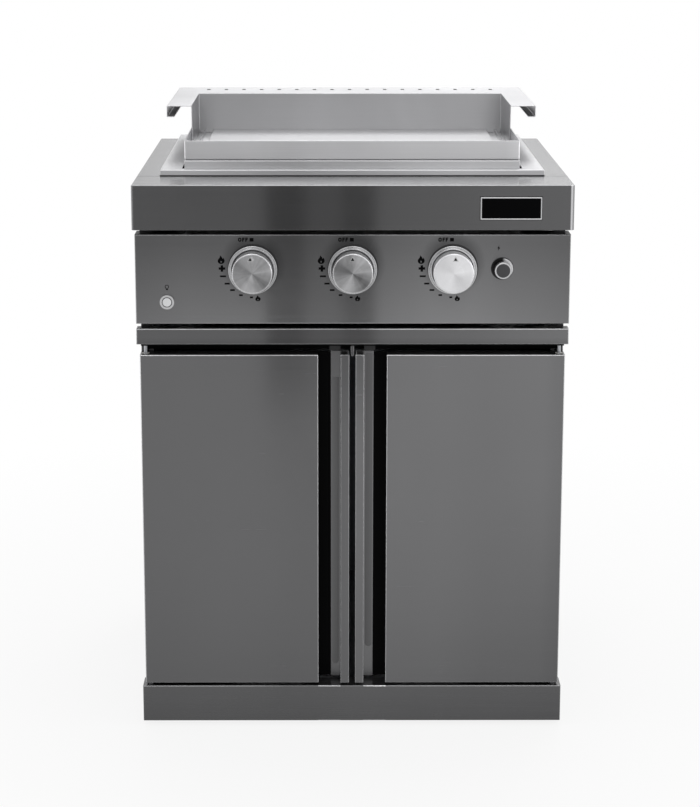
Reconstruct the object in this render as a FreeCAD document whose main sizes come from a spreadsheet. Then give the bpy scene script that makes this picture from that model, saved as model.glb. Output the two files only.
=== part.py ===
import FreeCAD, Part
import math
import operator
import os
import types

import Sketcher

# Outdoor gas griddle station, in mm, with +Z up and the user standing on the -Y side.
# The origin is on the ground, under the middle of the whole object.
# A steel cabinet on four feet carries a folded countertop. A stainless griddle drops into
# the countertop, over three gas burners, and a splash guard with an exhaust hood stands round it.

SIZES = {
    # Sheet and folds
    "sheet": 1.2,
    "bend": 2.0,
    "slip": 0.3,
    "running": 0.05,
    # Heights, stacked from the ground up
    "foot_clearance": 9.0,
    "plinth_height": 62.0,
    "plinth_gap": 5.0,
    "door_height": 558.0,
    "door_gap": 17.0,
    "tray_front_height": 26.0,
    "row_gap": 8.0,
    "panel_height": 145.0,
    "skirt_height": 72.0,
    # Countertop
    "counter_overhang": 8.0,
    "counter_depth": 600.0,
    "counter_corner": 4.0,
    "counter_ease": 1.0,
    "counter_lip": 14.0,
    "cutout_side_margin": 26.5,
    "cutout_end_margin": 8.0,
    # Cabinet
    "cabinet_width": 684.0,
    "row_overhang": 4.5,
    "row_setback": 8.0,
    "side_flange": 20.0,
    "back_overhang": 8.0,
    "back_margin": 2.0,
    "back_raise": 6.0,
    "floor_fold": 20.0,
    "vent_length": 130.0,
    "vent_height": 6.0,
    "vent_pitch": 16.0,
    "vent_count": 7,
    "vent_level": 110.0,
    "vent_spread": 300.0,
    "screw_radius": 4.5,
    "screw_head": 3.0,
    "screw_pitch": 240.0,
    "screw_level": 60.0,
    # Levelling feet
    "foot_radius": 17.0,
    "foot_pad": 6.0,
    "foot_neck_radius": 8.0,
    "foot_inset": 10.0,
    "foot_front_inset": 30.0,
    "foot_rear_inset": 32.0,
    # Doors and what carries them
    "door_edge_gap": 0.5,
    "door_thickness": 34.0,
    "door_swing_gap": 3.0,
    "door_skin_edge": 55.0,
    "grip_centre_gap": 10.0,
    "grip_bar_width": 14.0,
    "grip_bar_hem": 5.0,
    "grip_strip_width": 30.0,
    "grip_bend": 0.9,
    "liner_margin": 1.5,
    "hinge_inset": 8.5,
    "hinge_depth": 16.0,
    "pin_radius": 3.0,
    "pin_depth": 7.0,
    "pin_collar_radius": 5.0,
    "bush_width": 11.0,
    "bush_length": 8.0,
    "rail_drop": 2.0,
    "rail_front": 14.0,
    "rail_leg": 13.0,
    "catch_width": 18.0,
    "catch_depth": 16.0,
    "catch_height": 10.8,
    "catch_place": 28.0,
    "stop_width": 5.2,
    "stop_round": 1.7,
    "stop_depth": 5.0,
    "stop_length": 17.8,
    "stop_setback": 2.0,
    # Drip tray and its runners
    "tray_front_depth": 22.0,
    "tray_side_gap": 30.0,
    "tray_length": 511.0,
    "tray_height": 20.8,
    "tray_rim": 8.0,
    "runner_ledge": 25.8,
    "runner_height": 16.5,
    "runner_length": 510.0,
    # Control panel, its knobs and its two buttons
    "knob_pitch": 159.0,
    "knob_drop": 57.0,
    "knob_stands_out": 35.0,
    "knob_gap": 5.5,
    "knob_radius": 32.0,
    "knob_socket": 15.0,
    "knob_mark": 4.4,
    "knob_mark_depth": 0.4,
    "knob_mark_place": 22.0,
    "bezel_radius": 39.0,
    "bezel_step_radius": 36.2,
    "bezel_step": 5.0,
    "bezel_height": 9.0,
    "bezel_bore": 33.4,
    "shaft_hole": 8.0,
    "ignitor_place": 238.0,
    "ignitor_drop": 55.0,
    "ignitor_flange_radius": 17.0,
    "ignitor_flange": 3.0,
    "ignitor_barrel_radius": 12.0,
    "ignitor_barrel_length": 32.0,
    "ignitor_shaft_radius": 10.0,
    "ignitor_shaft_length": 28.0,
    "ignitor_cap_radius": 13.5,
    "ignitor_cap_height": 13.0,
    "ignitor_cap_gap": 5.0,
    "switch_place": 296.0,
    "switch_drop": 109.0,
    "switch_ring_radius": 11.5,
    "switch_ring": 4.0,
    "switch_barrel_radius": 8.6,
    "switch_barrel_length": 24.0,
    "switch_button_radius": 7.0,
    "switch_button_length": 19.0,
    "switch_button_proud": 1.0,
    "badge_width": 97.0,
    "badge_height": 36.0,
    "badge_depth": 2.0,
    "badge_rim": 2.0,
    "badge_plate": 1.2,
    "badge_place": 250.0,
    "badge_drop": 37.0,
    # Valves, stems and pipes
    "valve_setback": 8.0,
    "valve_width": 24.0,
    "valve_length": 36.0,
    "plug_radius": 7.0,
    "plug_setback": 5.0,
    "plug_length": 24.0,
    "plug_socket": 17.5,
    "outlet_radius": 6.5,
    "outlet_length": 12.0,
    "nozzle_radius": 3.5,
    "nozzle_length": 10.0,
    "inlet_boss_width": 14.0,
    "stem_radius": 4.0,
    "stem_in_plug": 13.5,
    "manifold_drop": 24.0,
    "manifold_setback": 20.0,
    "manifold_radius": 9.5,
    "manifold_left": 206.0,
    "manifold_bracket_place": 196.0,
    "bracket_width": 16.0,
    "bracket_steel": 3.0,
    "bracket_leg": 40.0,
    "pipe_place": 290.0,
    "elbow_size": 22.0,
    "pipe_radius": 8.0,
    "pipe_bore": 6.0,
    "pipe_nut_radius": 14.0,
    "pipe_nut_length": 10.0,
    "inlet_radius": 10.45,
    "inlet_length": 16.0,
    "inlet_hole": 20.0,
    # Griddle frame, burner box and burners
    "frame_side": 38.75,
    "frame_length": 474.0,
    "frame_front": 100.0,
    "frame_height": 10.7,
    "frame_bend": 1.6,
    "frame_side_gap": 4.25,
    "box_width": 545.5,
    "box_length": 445.0,
    "box_front": 115.0,
    "box_rim_height": 24.0,
    "box_depth": 189.0,
    "box_rim": 10.0,
    "box_foot": 15.0,
    "burner_width": 28.0,
    "burner_height": 22.0,
    "burner_mouth": 66.0,
    "burner_rise_start": 150.0,
    "burner_rise": 72.0,
    "burner_end_gap": 40.0,
    "burner_hole_gap": 0.6,
    "window_length": 16.0,
    "window_height": 11.0,
    "window_place": 80.0,
    "port_count": 11,
    "port_pitch": 24.0,
    "port_length": 3.0,
    "port_width": 20.0,
    "port_start": 252.0,
    "tail_width": 12.0,
    "electrode_offset": 24.0,
    "electrode_level": 7.0,
    "ceramic_radius": 4.0,
    "ceramic_front": 15.0,
    "ceramic_length": 36.0,
    "spark_rod_radius": 1.2,
    "spark_rod_length": 112.0,
    "module_width": 50.0,
    "module_depth": 28.0,
    "module_height": 36.0,
    "module_place": 206.0,
    "module_level": 55.0,
    # Griddle pan and cooking plate
    "pan_sheet": 1.5,
    "pan_length": 353.0,
    "pan_height": 30.0,
    "pan_corner": 2.4,
    "pan_lift": 2.0,
    "pan_base_inset": 4.0,
    "gutter_width": 14.0,
    "gutter_ridge": 6.5,
    "plate_side": 28.25,
    "plate_thickness": 5.5,
    "plate_bend": 1.0,
    "drain_radius": 5.0,
    "spout_wall": 1.2,
    "spout_length": 36.0,
    "drain_setback": 25.0,
    # Splash guard with its hood and side wings
    "guard_height": 97.5,
    "guard_side_front": 174.0,
    "wing_front": 157.0,
    "wing_drop": 19.0,
    "wing_return": 13.0,
    "hood_rear": 473.0,
    "hood_slot_width": 6.0,
    "hood_slot_length": 16.0,
    "hood_slot_pitch": 32.0,
    "hood_slot_count": 17,
    "hood_slot_inset": 46.0,
}

doc = FreeCAD.newDocument("griddle_station")
sheet = doc.addObject("Spreadsheet::Sheet", "Sizes")
for row, (alias, number) in enumerate(SIZES.items(), 1):
    sheet.set(f"A{row}", alias)
    sheet.set(f"B{row}", str(number))
    sheet.setAlias(f"B{row}", alias)
doc.recompute()

SIGNS = {"+": operator.add, "-": operator.sub, "*": operator.mul, "/": operator.truediv}


class Size:
    """A length: the formula that the document keeps, and its number in mm."""

    def __init__(self, formula, number):
        self.formula = formula
        self.number = number

    def __add__(self, other):
        return joined(self, "+", other)

    def __radd__(self, other):
        return joined(other, "+", self)

    def __sub__(self, other):
        return joined(self, "-", other)

    def __rsub__(self, other):
        return joined(other, "-", self)

    def __mul__(self, other):
        return joined(self, "*", other)

    def __truediv__(self, other):
        return joined(self, "/", other)

    def __neg__(self):
        return joined(0, "-", self)


def as_size(value):
    return value if isinstance(value, Size) else Size(str(value), float(value))


def joined(first, sign, second):
    first, second = as_size(first), as_size(second)
    number = SIGNS[sign](first.number, second.number)
    return Size(f"({first.formula} {sign} {second.formula})", number)


s = types.SimpleNamespace(**{name: Size(f"Sizes.{name}", value) for name, value in SIZES.items()})

# Places that several sub-parts share
FRONT = (s.knob_stands_out - s.row_setback - s.counter_depth) / 2
PLINTH_LEVEL = s.foot_clearance
DOOR_LEVEL = PLINTH_LEVEL + s.plinth_height + s.plinth_gap
TRAY_LEVEL = DOOR_LEVEL + s.door_height + s.door_gap
PANEL_LEVEL = TRAY_LEVEL + s.tray_front_height + s.row_gap
SKIRT_LEVEL = PANEL_LEVEL + s.panel_height + s.row_gap
TOP_LEVEL = SKIRT_LEVEL + s.skirt_height
KNOB_LEVEL = PANEL_LEVEL + s.panel_height - s.knob_drop
ROW_FACE = FRONT + s.row_setback
ROW_DEPTH = s.door_thickness + s.door_swing_gap
CARCASS_FRONT = ROW_FACE + ROW_DEPTH
CARCASS_BACK = FRONT + s.counter_depth - s.back_overhang
SIDE_INNER = s.cabinet_width / 2 - s.sheet
COUNTER_WIDTH = s.cabinet_width + s.counter_overhang * 2
ROW_WIDTH = s.cabinet_width + s.row_overhang * 2
DOORS_WIDTH = s.cabinet_width - s.door_edge_gap * 2
TRAY_WIDTH = s.cabinet_width - s.tray_side_gap * 2
FRAME_WIDTH = s.box_width + s.frame_side * 2
PLATE_WIDTH = s.box_width - s.plate_side * 2
THROUGH = s.sheet * 3
RAIL_LEVEL = TRAY_LEVEL - s.rail_drop
BOX_FRONT = FRONT + s.box_front
BOX_BACK = BOX_FRONT + s.box_length
BOX_TOP = TOP_LEVEL + s.box_rim_height
BOX_BOTTOM = BOX_TOP - s.box_depth
PAN_LEVEL = BOX_TOP + s.pan_lift
PAN_FLOOR = PAN_LEVEL + s.pan_sheet
GUARD_TOP = TOP_LEVEL + s.guard_height
GUARD_BACK = BOX_FRONT + s.pan_length - s.pan_sheet - s.slip - s.sheet
GUARD_SIDE = s.box_width / 2 - s.pan_sheet - s.slip
VALVE_FRONT = ROW_FACE + s.valve_setback
MANIFOLD_LEVEL = KNOB_LEVEL - s.manifold_drop
MANIFOLD_PLACE = VALVE_FRONT + s.manifold_setback
BURNER_LEVEL = KNOB_LEVEL + s.burner_rise
ROWS = {"left": -1, "middle": 0, "right": 1}

TURNS = {
    "x": FreeCAD.Rotation(FreeCAD.Vector(0, 1, 0), 90),
    "y": FreeCAD.Rotation(FreeCAD.Vector(1, 0, 0), -90),
    "z": FreeCAD.Rotation(),
}
PLANES = {"xy": "XY_Plane", "xz": "XZ_Plane", "yz": "YZ_Plane"}
# Small punched holes have this many sides, to keep the mesh light
HOLE_SIDES = 12
# How much larger such a hole is, corner to corner, than the round piece that it clears
HOLE_SLACK = 1.05
SCREWS_EACH_SIDE = 4
TAN_EIGHTH_TURN = math.tan(math.pi / 8)


def bind(thing, **sizes):
    for name, size in sizes.items():
        thing.setExpression(name, as_size(size).formula)
    return thing


def place(thing, x=0, y=0, z=0):
    for axis, size in zip("xyz", (x, y, z)):
        thing.setExpression(f"Placement.Base.{axis}", as_size(size).formula)
    return thing


def block(name, size, corner):
    """A Part box with its lowest corner at corner."""
    thing = doc.addObject("Part::Box", name)
    bind(thing, Length=size[0], Width=size[1], Height=size[2])
    return place(thing, *corner)


def rod(name, radius, length, start, along):
    """A Part cylinder from start, running in the positive direction of an axis."""
    thing = doc.addObject("Part::Cylinder", name)
    bind(thing, Radius=radius, Height=length)
    thing.Placement.Rotation = TURNS[along]
    return place(thing, *start)


def prism(name, radius, length, start, along):
    """A hexagonal bar from start, running in the positive direction of an axis."""
    thing = doc.addObject("Part::Prism", name)
    thing.Polygon = 6
    bind(thing, Circumradius=radius, Height=length)
    thing.Placement.Rotation = TURNS[along]
    return place(thing, *start)


def cut(name, base, *tools):
    thing = doc.addObject("Part::Cut", name)
    thing.Base = base
    thing.Tool = tools[0] if len(tools) == 1 else fuse(name + "_tools", *tools)
    return thing


def fuse(name, *things):
    thing = doc.addObject("Part::MultiFuse", name)
    thing.Shapes = list(things)
    return thing


def group(name, *things):
    thing = doc.addObject("Part::Compound", name)
    thing.Links = list(things)
    return thing


def mirrored(name, source):
    """The same piece on the other side of the middle."""
    thing = doc.addObject("Part::Mirroring", name)
    thing.Source = source
    thing.Base = FreeCAD.Vector(0, 0, 0)
    thing.Normal = FreeCAD.Vector(1, 0, 0)
    return thing


def origin_feature(body, role):
    return next(item for item in body.Origin.OriginFeatures if item.Role == role)


def new_body(name):
    return doc.addObject("PartDesign::Body", name)


def feature(body, kind, name, **sizes):
    thing = body.newObject("PartDesign::" + kind, f"{body.Name}_{name}")
    return bind(thing, **sizes)


def add_block(body, name, size, corner, kind="AdditiveBox"):
    thing = feature(body, kind, name, Length=size[0], Width=size[1], Height=size[2])
    return place(thing, *corner)


def cut_block(body, name, size, corner):
    return add_block(body, name, size, corner, "SubtractiveBox")


def add_rod(body, name, radius, length, start, along, kind="AdditiveCylinder"):
    thing = feature(body, kind, name, Radius=radius, Height=length)
    thing.Placement.Rotation = TURNS[along]
    return place(thing, *start)


def cut_rod(body, name, radius, length, start, along):
    return add_rod(body, name, radius, length, start, along, "SubtractiveCylinder")


def add_prism(body, name, radius, length, start, along, sides=6, kind="AdditivePrism"):
    thing = feature(body, kind, name, Circumradius=radius, Height=length)
    thing.Polygon = sides
    thing.Placement.Rotation = TURNS[along]
    return place(thing, *start)


def cut_prism(body, name, radius, length, start, along, sides=6):
    return add_prism(body, name, radius, length, start, along, sides, "SubtractivePrism")


def edge_feature(body, kind, name, chosen, **sizes):
    """A fillet or chamfer on the edges of the body for which chosen is true."""
    doc.recompute()
    base = body.Tip
    edges = [f"Edge{i}" for i, edge in enumerate(base.Shape.Edges, 1) if chosen(edge, base.Shape)]
    thing = feature(body, kind, name, **sizes)
    thing.Base = (base, edges)
    return thing


def fillet(body, name, radius, chosen):
    return edge_feature(body, "Fillet", name, chosen, Radius=radius)


def chamfer(body, name, size, chosen):
    return edge_feature(body, "Chamfer", name, chosen, Size=size)


def shell(body, name, wall, open_side):
    """Hollows the body to a wall that is open on one side, such as y max."""
    doc.recompute()
    base = body.Tip
    faces = [
        f"Face{i}"
        for i, face in enumerate(base.Shape.Faces, 1)
        if on_side(face, base.Shape, open_side)
    ]
    thing = feature(body, "Thickness", name, Value=wall)
    thing.Base = (base, faces)
    thing.Reversed = True
    return thing


def on_side(item, shape, side):
    """Whether an edge or face lies wholly on one side of a shape's box, such as z min."""
    axis, end = side.upper().split()
    bound = getattr(shape.BoundBox, f"{axis}{end.capitalize()}")
    box = item.BoundBox
    return max(abs(getattr(box, f"{axis}{e}") - bound) for e in ("Min", "Max")) < 1e-5


def upright(edge, shape):
    return edge.BoundBox.XLength < 1e-5 and edge.BoundBox.YLength < 1e-5


def front_edges(edge, shape):
    return on_side(edge, shape, "y min")


def top_edges(edge, shape):
    return on_side(edge, shape, "z max")


def sketch(body, name, plane, points, start):
    """A closed outline on one of the body's planes, moved to start along the third axis."""
    thing = body.newObject("Sketcher::SketchObject", f"{body.Name}_{name}_outline")
    thing.AttachmentSupport = [(origin_feature(body, PLANES[plane]), "")]
    thing.MapMode = "FlatFace"
    shift = -as_size(start) if plane == "xz" else as_size(start)
    thing.setExpression("AttachmentOffset.Base.z", shift.formula)
    corners = [(as_size(a), as_size(b)) for a, b in points]
    spots = [FreeCAD.Vector(a.number, b.number, 0) for a, b in corners]
    count = len(corners)
    for i in range(count):
        thing.addGeometry(Part.LineSegment(spots[i], spots[(i + 1) % count]))
    for i in range(count):
        thing.addConstraint(Sketcher.Constraint("Coincident", i, 2, (i + 1) % count, 1))
    for i, corner in enumerate(corners):
        for kind, size in zip(("DistanceX", "DistanceY"), corner):
            item = Sketcher.Constraint(kind, -1, 1, i, 1, size.number)
            number = thing.addConstraint(item)
            thing.setExpression(f"Constraints[{number}]", size.formula)
    return thing


def add_outline(body, name, plane, points, start, length):
    """Pads an outline from start, in the positive direction of the third axis."""
    outline = sketch(body, name, plane, points, start)
    thing = feature(body, "Pad", name, Length=length)
    thing.Profile = outline
    thing.Reversed = plane == "xz"
    return thing


def cut_outline(body, name, plane, points, start, length):
    """Pockets an outline from start, in the positive direction of the third axis."""
    outline = sketch(body, name, plane, points, start)
    thing = feature(body, "Pocket", name, Length=length)
    thing.Profile = outline
    thing.Reversed = plane != "xz"
    return thing


def turned(name, points):
    """A body turned about the Y axis from pairs of radius and place along Y."""
    body = new_body(name)
    outline = sketch(body, "turn", "xy", points, 0)
    thing = feature(body, "Revolution", "turn")
    thing.Profile = outline
    thing.ReferenceAxis = (origin_feature(body, "Y_Axis"), [""])
    thing.Angle = 360
    return body


def row_of(body, name, original, axis, pitch, count):
    """Repeats a feature along an axis of the body."""
    doc.recompute()
    thing = body.newObject("PartDesign::LinearPattern", f"{body.Name}_{name}")
    thing.Originals = [original]
    thing.Direction = (origin_feature(body, axis), [""])
    bind(thing, Length=pitch * (count - 1), Occurrences=count)
    body.Tip = thing
    return thing


def folded_front(name, width, depth, height, left=None):
    """A sheet box that is open at the back, with its front folds rounded."""
    body = new_body(name)
    left = -as_size(width) / 2 if left is None else left
    add_block(body, "blank", (width, depth, height), (left, 0, 0))
    fillet(body, "folds", s.bend, front_edges)
    shell(body, "hollow", s.sheet, "y max")
    return body


def make_countertop():
    top = new_body("countertop")
    half_width = COUNTER_WIDTH / 2
    add_block(top, "blank", (COUNTER_WIDTH, s.counter_depth, s.skirt_height), (-half_width, 0, 0))
    fillet(top, "corners", s.counter_corner, upright)
    shell(top, "hollow", s.sheet, "z min")
    chamfer(top, "eased_rim", s.counter_ease, top_edges)
    lip_x = COUNTER_WIDTH - s.sheet * 2
    lip_y = s.counter_depth - s.sheet * 2
    for name, y in (("front", s.sheet), ("back", s.counter_depth - s.sheet - s.counter_lip)):
        add_block(top, name + "_lip", (lip_x, s.counter_lip, s.sheet), (-lip_x / 2, y, 0))
    for name, x in (("left", -lip_x / 2), ("right", lip_x / 2 - s.counter_lip)):
        add_block(top, name + "_lip", (s.counter_lip, lip_y, s.sheet), (x, s.sheet, 0))
    opening = FRAME_WIDTH - s.cutout_side_margin * 2
    length = s.frame_length - s.cutout_end_margin * 2
    corner = (-opening / 2, s.frame_front + s.cutout_end_margin, s.skirt_height - s.sheet * 2)
    cut_block(top, "cutout", (opening, length, THROUGH), corner)
    place(top, 0, FRONT, SKIRT_LEVEL)
    return [top]


def make_cabinet():
    height = SKIRT_LEVEL - PLINTH_LEVEL
    length = CARCASS_BACK - CARCASS_FRONT
    corner = (-s.cabinet_width / 2, CARCASS_FRONT, PLINTH_LEVEL)
    inner = (
        -s.cabinet_width / 2 + s.sheet,
        CARCASS_FRONT + s.sheet,
        PLINTH_LEVEL + s.sheet,
    )
    blank = block("side_blank", (s.side_flange, length, height), corner)
    hollow_size = (s.side_flange, length - s.sheet * 2, height - s.sheet * 2)
    left = cut("cabinet_side_left", blank, block("side_hollow", hollow_size, inner))
    right = mirrored("cabinet_side_right", left)

    floor_corner = (-SIDE_INNER, CARCASS_FRONT + s.sheet, PLINTH_LEVEL + s.plinth_height - s.floor_fold)
    floor_size = (SIDE_INNER * 2, length - s.sheet * 2, s.floor_fold)
    floor = new_body("cabinet_floor")
    add_block(floor, "blank", floor_size, (0, 0, 0))
    shell(floor, "hollow", s.sheet, "z min")
    place(floor, *floor_corner)

    back = new_body("cabinet_back")
    back_width = s.cabinet_width - s.back_margin * 2
    back_height = height - s.back_raise - s.row_gap
    add_block(back, "blank", (back_width, s.sheet, back_height), (-back_width / 2, 0, 0))
    hole_start = (s.pipe_place, -s.sheet, MANIFOLD_LEVEL - PLINTH_LEVEL - s.back_raise)
    cut_prism(back, "inlet_hole", s.inlet_hole, THROUGH, hole_start, "y", HOLE_SIDES)
    for name, side in (("left", -1), ("right", 1)):
        x = s.vent_spread / 2 * side - s.vent_length / 2
        slot_size = (s.vent_length, THROUGH, s.vent_height)
        slot = cut_block(back, f"{name}_vent", slot_size, (x, -s.sheet, s.vent_level))
        row_of(back, f"{name}_vents", slot, "Z_Axis", s.vent_pitch, s.vent_count)
    place(back, 0, CARCASS_BACK, PLINTH_LEVEL + s.back_raise)

    screw_x = s.cabinet_width / 2 - s.side_flange / 2
    screws = [
        prism(
            f"back_screw_{side}_{i}",
            s.screw_radius,
            s.screw_head,
            (screw_x * side, CARCASS_BACK + s.sheet, s.screw_level + s.screw_pitch * i),
            "y",
        )
        for side in (-1, 1)
        for i in range(SCREWS_EACH_SIDE)
    ]
    plinth = folded_front("plinth", ROW_WIDTH, ROW_DEPTH, s.plinth_height)
    place(plinth, 0, ROW_FACE, PLINTH_LEVEL)
    return [left, right, floor, back, group("back_panel_screws", *screws), plinth]


def make_feet():
    x = s.cabinet_width / 2 - s.foot_inset
    front, rear = CARCASS_FRONT + s.foot_front_inset, CARCASS_BACK - s.foot_rear_inset
    feet = []
    neck_height = PLINTH_LEVEL - s.foot_pad
    for name, place_x, place_y in (
        ("front_left", -x, front),
        ("front_right", x, front),
        ("rear_left", -x, rear),
        ("rear_right", x, rear),
    ):
        pad = prism(f"pad_{name}", s.foot_radius, s.foot_pad, (place_x, place_y, 0), "z")
        neck_start = (place_x, place_y, s.foot_pad)
        neck = prism(f"neck_{name}", s.foot_neck_radius, neck_height, neck_start, "z")
        feet.append(fuse(f"foot_{name}", pad, neck))
    return [group("levelling_feet", *feet)]


def make_front_rail():
    width = s.cabinet_width - s.back_margin * 2
    rail = new_body("front_rail")
    points = [
        (s.rail_front - s.row_setback, -s.sheet),
        (s.rail_front - s.row_setback, 0),
        (ROW_DEPTH, 0),
        (ROW_DEPTH, -s.rail_leg),
        (ROW_DEPTH - s.sheet, -s.rail_leg),
        (ROW_DEPTH - s.sheet, -s.sheet),
    ]
    add_outline(rail, "angle", "yz", points, -width / 2, width)
    place(rail, 0, ROW_FACE, RAIL_LEVEL)

    under = RAIL_LEVEL - s.sheet
    catch_size = (s.catch_width, s.catch_depth, s.catch_height)
    catch_y = CARCASS_FRONT - s.sheet - s.catch_depth
    catches = [
        block(
            f"door_catch_{name}",
            catch_size,
            (s.catch_place * side - s.catch_width / 2, catch_y, under - s.catch_height),
        )
        for name, side in (("left", -1), ("right", 1))
    ]

    stop = new_body("door_stop")
    stop_size = (s.stop_width, s.stop_depth, s.stop_length)
    add_block(stop, "blank", stop_size, (-s.stop_width / 2, 0, -s.stop_length))
    fillet(stop, "round_end", s.stop_round, lower_stop_edges)
    place(stop, 0, FRONT + s.rail_front + s.stop_setback, under)
    return [rail, group("door_catches", *catches), stop]


def lower_stop_edges(edge, shape):
    return on_side(edge, shape, "z min") and edge.BoundBox.XLength < 1e-5


def make_hinge_pins():
    x = DOORS_WIDTH / 2 - s.hinge_inset
    y = ROW_FACE + s.hinge_depth
    door_top = DOOR_LEVEL + s.door_height
    upper_length = RAIL_LEVEL - s.sheet - door_top + s.pin_depth
    lower_length = s.plinth_gap + s.pin_depth
    seat_height = s.plinth_gap - s.slip
    pins = []
    for name, side in (("left", -1), ("right", 1)):
        upper_start = (x * side, y, door_top - s.pin_depth)
        pins.append(rod(f"upper_hinge_pin_{name}", s.pin_radius, upper_length, upper_start, "z"))
        start = (x * side, y, DOOR_LEVEL - s.plinth_gap)
        lower = rod(f"lower_pin_{name}", s.pin_radius, lower_length, start, "z")
        seat = prism(f"lower_seat_{name}", s.pin_collar_radius, seat_height, start, "z")
        pins.append(fuse(f"lower_hinge_pin_{name}", lower, seat))
    return [group("hinge_pins", *pins)]


def make_doors():
    skin_width = DOORS_WIDTH / 2 - s.door_skin_edge
    skin_depth = s.door_thickness - s.sheet
    skin = folded_front("door_left_skin", skin_width, skin_depth, s.door_height, 0)
    half_bush = s.bush_width / 2
    hole_size = (s.bush_width, s.bush_width, s.door_height + s.sheet * 2)
    hole_corner = (s.hinge_inset - half_bush, s.hinge_depth - half_bush, -s.sheet)
    cut_block(skin, "bush_holes", hole_size, hole_corner)
    place(skin, -DOORS_WIDTH / 2, ROW_FACE, DOOR_LEVEL)

    liner_width = (DOORS_WIDTH - s.grip_centre_gap) / 2 - s.liner_margin
    liner_height = s.door_height - s.liner_margin * 2
    liner_corner = (
        -DOORS_WIDTH / 2 + s.liner_margin,
        ROW_FACE + s.door_thickness - s.sheet,
        DOOR_LEVEL + s.liner_margin,
    )
    liner = block("door_left_liner", (liner_width, s.sheet, liner_height), liner_corner)

    grip = new_body("door_left_grip")
    back = s.door_thickness - s.sheet
    points = [
        (0, 0),
        (0, back),
        (-s.grip_strip_width, back),
        (-s.grip_strip_width, back - s.sheet),
        (-s.sheet, back - s.sheet),
        (-s.sheet, s.sheet),
        (s.sheet - s.grip_bar_width, s.sheet),
        (s.sheet - s.grip_bar_width, s.grip_bar_hem),
        (-s.grip_bar_width, s.grip_bar_hem),
        (-s.grip_bar_width, 0),
    ]
    add_outline(grip, "channel", "xy", points, 0, s.door_height)
    fillet(grip, "folds", s.grip_bend, upright_front_edges)
    place(grip, -s.grip_centre_gap / 2, ROW_FACE, DOOR_LEVEL)

    bushes = []
    x, y = s.hinge_inset - DOORS_WIDTH / 2, ROW_FACE + s.hinge_depth
    for name, z in (("lower", DOOR_LEVEL), ("upper", DOOR_LEVEL + s.door_height - s.bush_length)):
        bush_size = (s.bush_width, s.bush_width, s.bush_length)
        bush = block(f"bush_{name}", bush_size, (x - half_bush, y - half_bush, z))
        bore = rod(f"bush_{name}_bore", s.pin_radius + s.running, s.bush_length, (x, y, z), "z")
        bushes.append(cut(f"{name}_bush", bush, bore))
    left = [skin, liner, grip, group("door_left_bushes", *bushes)]
    return left + [mirrored(item.Label.replace("left", "right"), item) for item in left]


def upright_front_edges(edge, shape):
    return upright(edge, shape) and on_side(edge, shape, "y min")


def make_drip_tray():
    front = folded_front("drip_tray_front", ROW_WIDTH, s.tray_front_depth, s.tray_front_height)
    place(front, 0, ROW_FACE, TRAY_LEVEL)

    y, z = ROW_FACE + s.bend, TRAY_LEVEL + s.sheet
    half = TRAY_WIDTH / 2
    wall = s.sheet
    blank = block("tray_blank", (TRAY_WIDTH, s.tray_length, s.tray_height), (-half, y, z))
    rim_size = (TRAY_WIDTH + s.tray_rim * 2, s.tray_length - ROW_DEPTH, wall)
    rim_corner = (-half - s.tray_rim, y + ROW_DEPTH, z + s.tray_height - wall)
    rim = block("tray_rim", rim_size, rim_corner)
    hollow_size = (TRAY_WIDTH - wall * 2, s.tray_length - wall * 2, s.tray_height)
    hollow = block("tray_hollow", hollow_size, (wall - half, y + wall, z + wall))
    pan = cut("drip_tray_pan", fuse("tray_body", blank, rim), hollow)

    runner = new_body("tray_runner_left")
    top = s.runner_height
    points = [
        (0, 0),
        (0, top),
        (s.runner_ledge, top),
        (s.runner_ledge, top - wall),
        (wall, top - wall),
        (wall, 0),
    ]
    add_outline(runner, "angle", "xz", points, 0, s.runner_length)
    runner_level = z + s.tray_height - wall - s.slip - s.runner_height
    place(runner, -SIDE_INNER, CARCASS_FRONT + s.sheet, runner_level)
    return [front, pan, runner, mirrored("tray_runner_right", runner)]


def make_control_panel():
    panel = folded_front("control_panel", ROW_WIDTH, ROW_DEPTH, s.panel_height)
    top = s.panel_height
    start = (-s.knob_pitch, -s.sheet, top - s.knob_drop)
    hole = cut_prism(panel, "shaft_hole", s.shaft_hole, THROUGH, start, "y", HOLE_SIDES)
    row_of(panel, "shaft_holes", hole, "X_Axis", s.knob_pitch, 3)
    places = {
        "ignitor": (s.ignitor_place, s.ignitor_drop, s.ignitor_barrel_radius),
        "switch": (-s.switch_place, s.switch_drop, s.switch_barrel_radius),
    }
    for name, (x, drop, radius) in places.items():
        hole_start = (x, -s.sheet, top - drop)
        cut_prism(panel, name + "_hole", radius * HOLE_SLACK, THROUGH, hole_start, "y", HOLE_SIDES)
    place(panel, 0, ROW_FACE, PANEL_LEVEL)
    return [panel]


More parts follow.
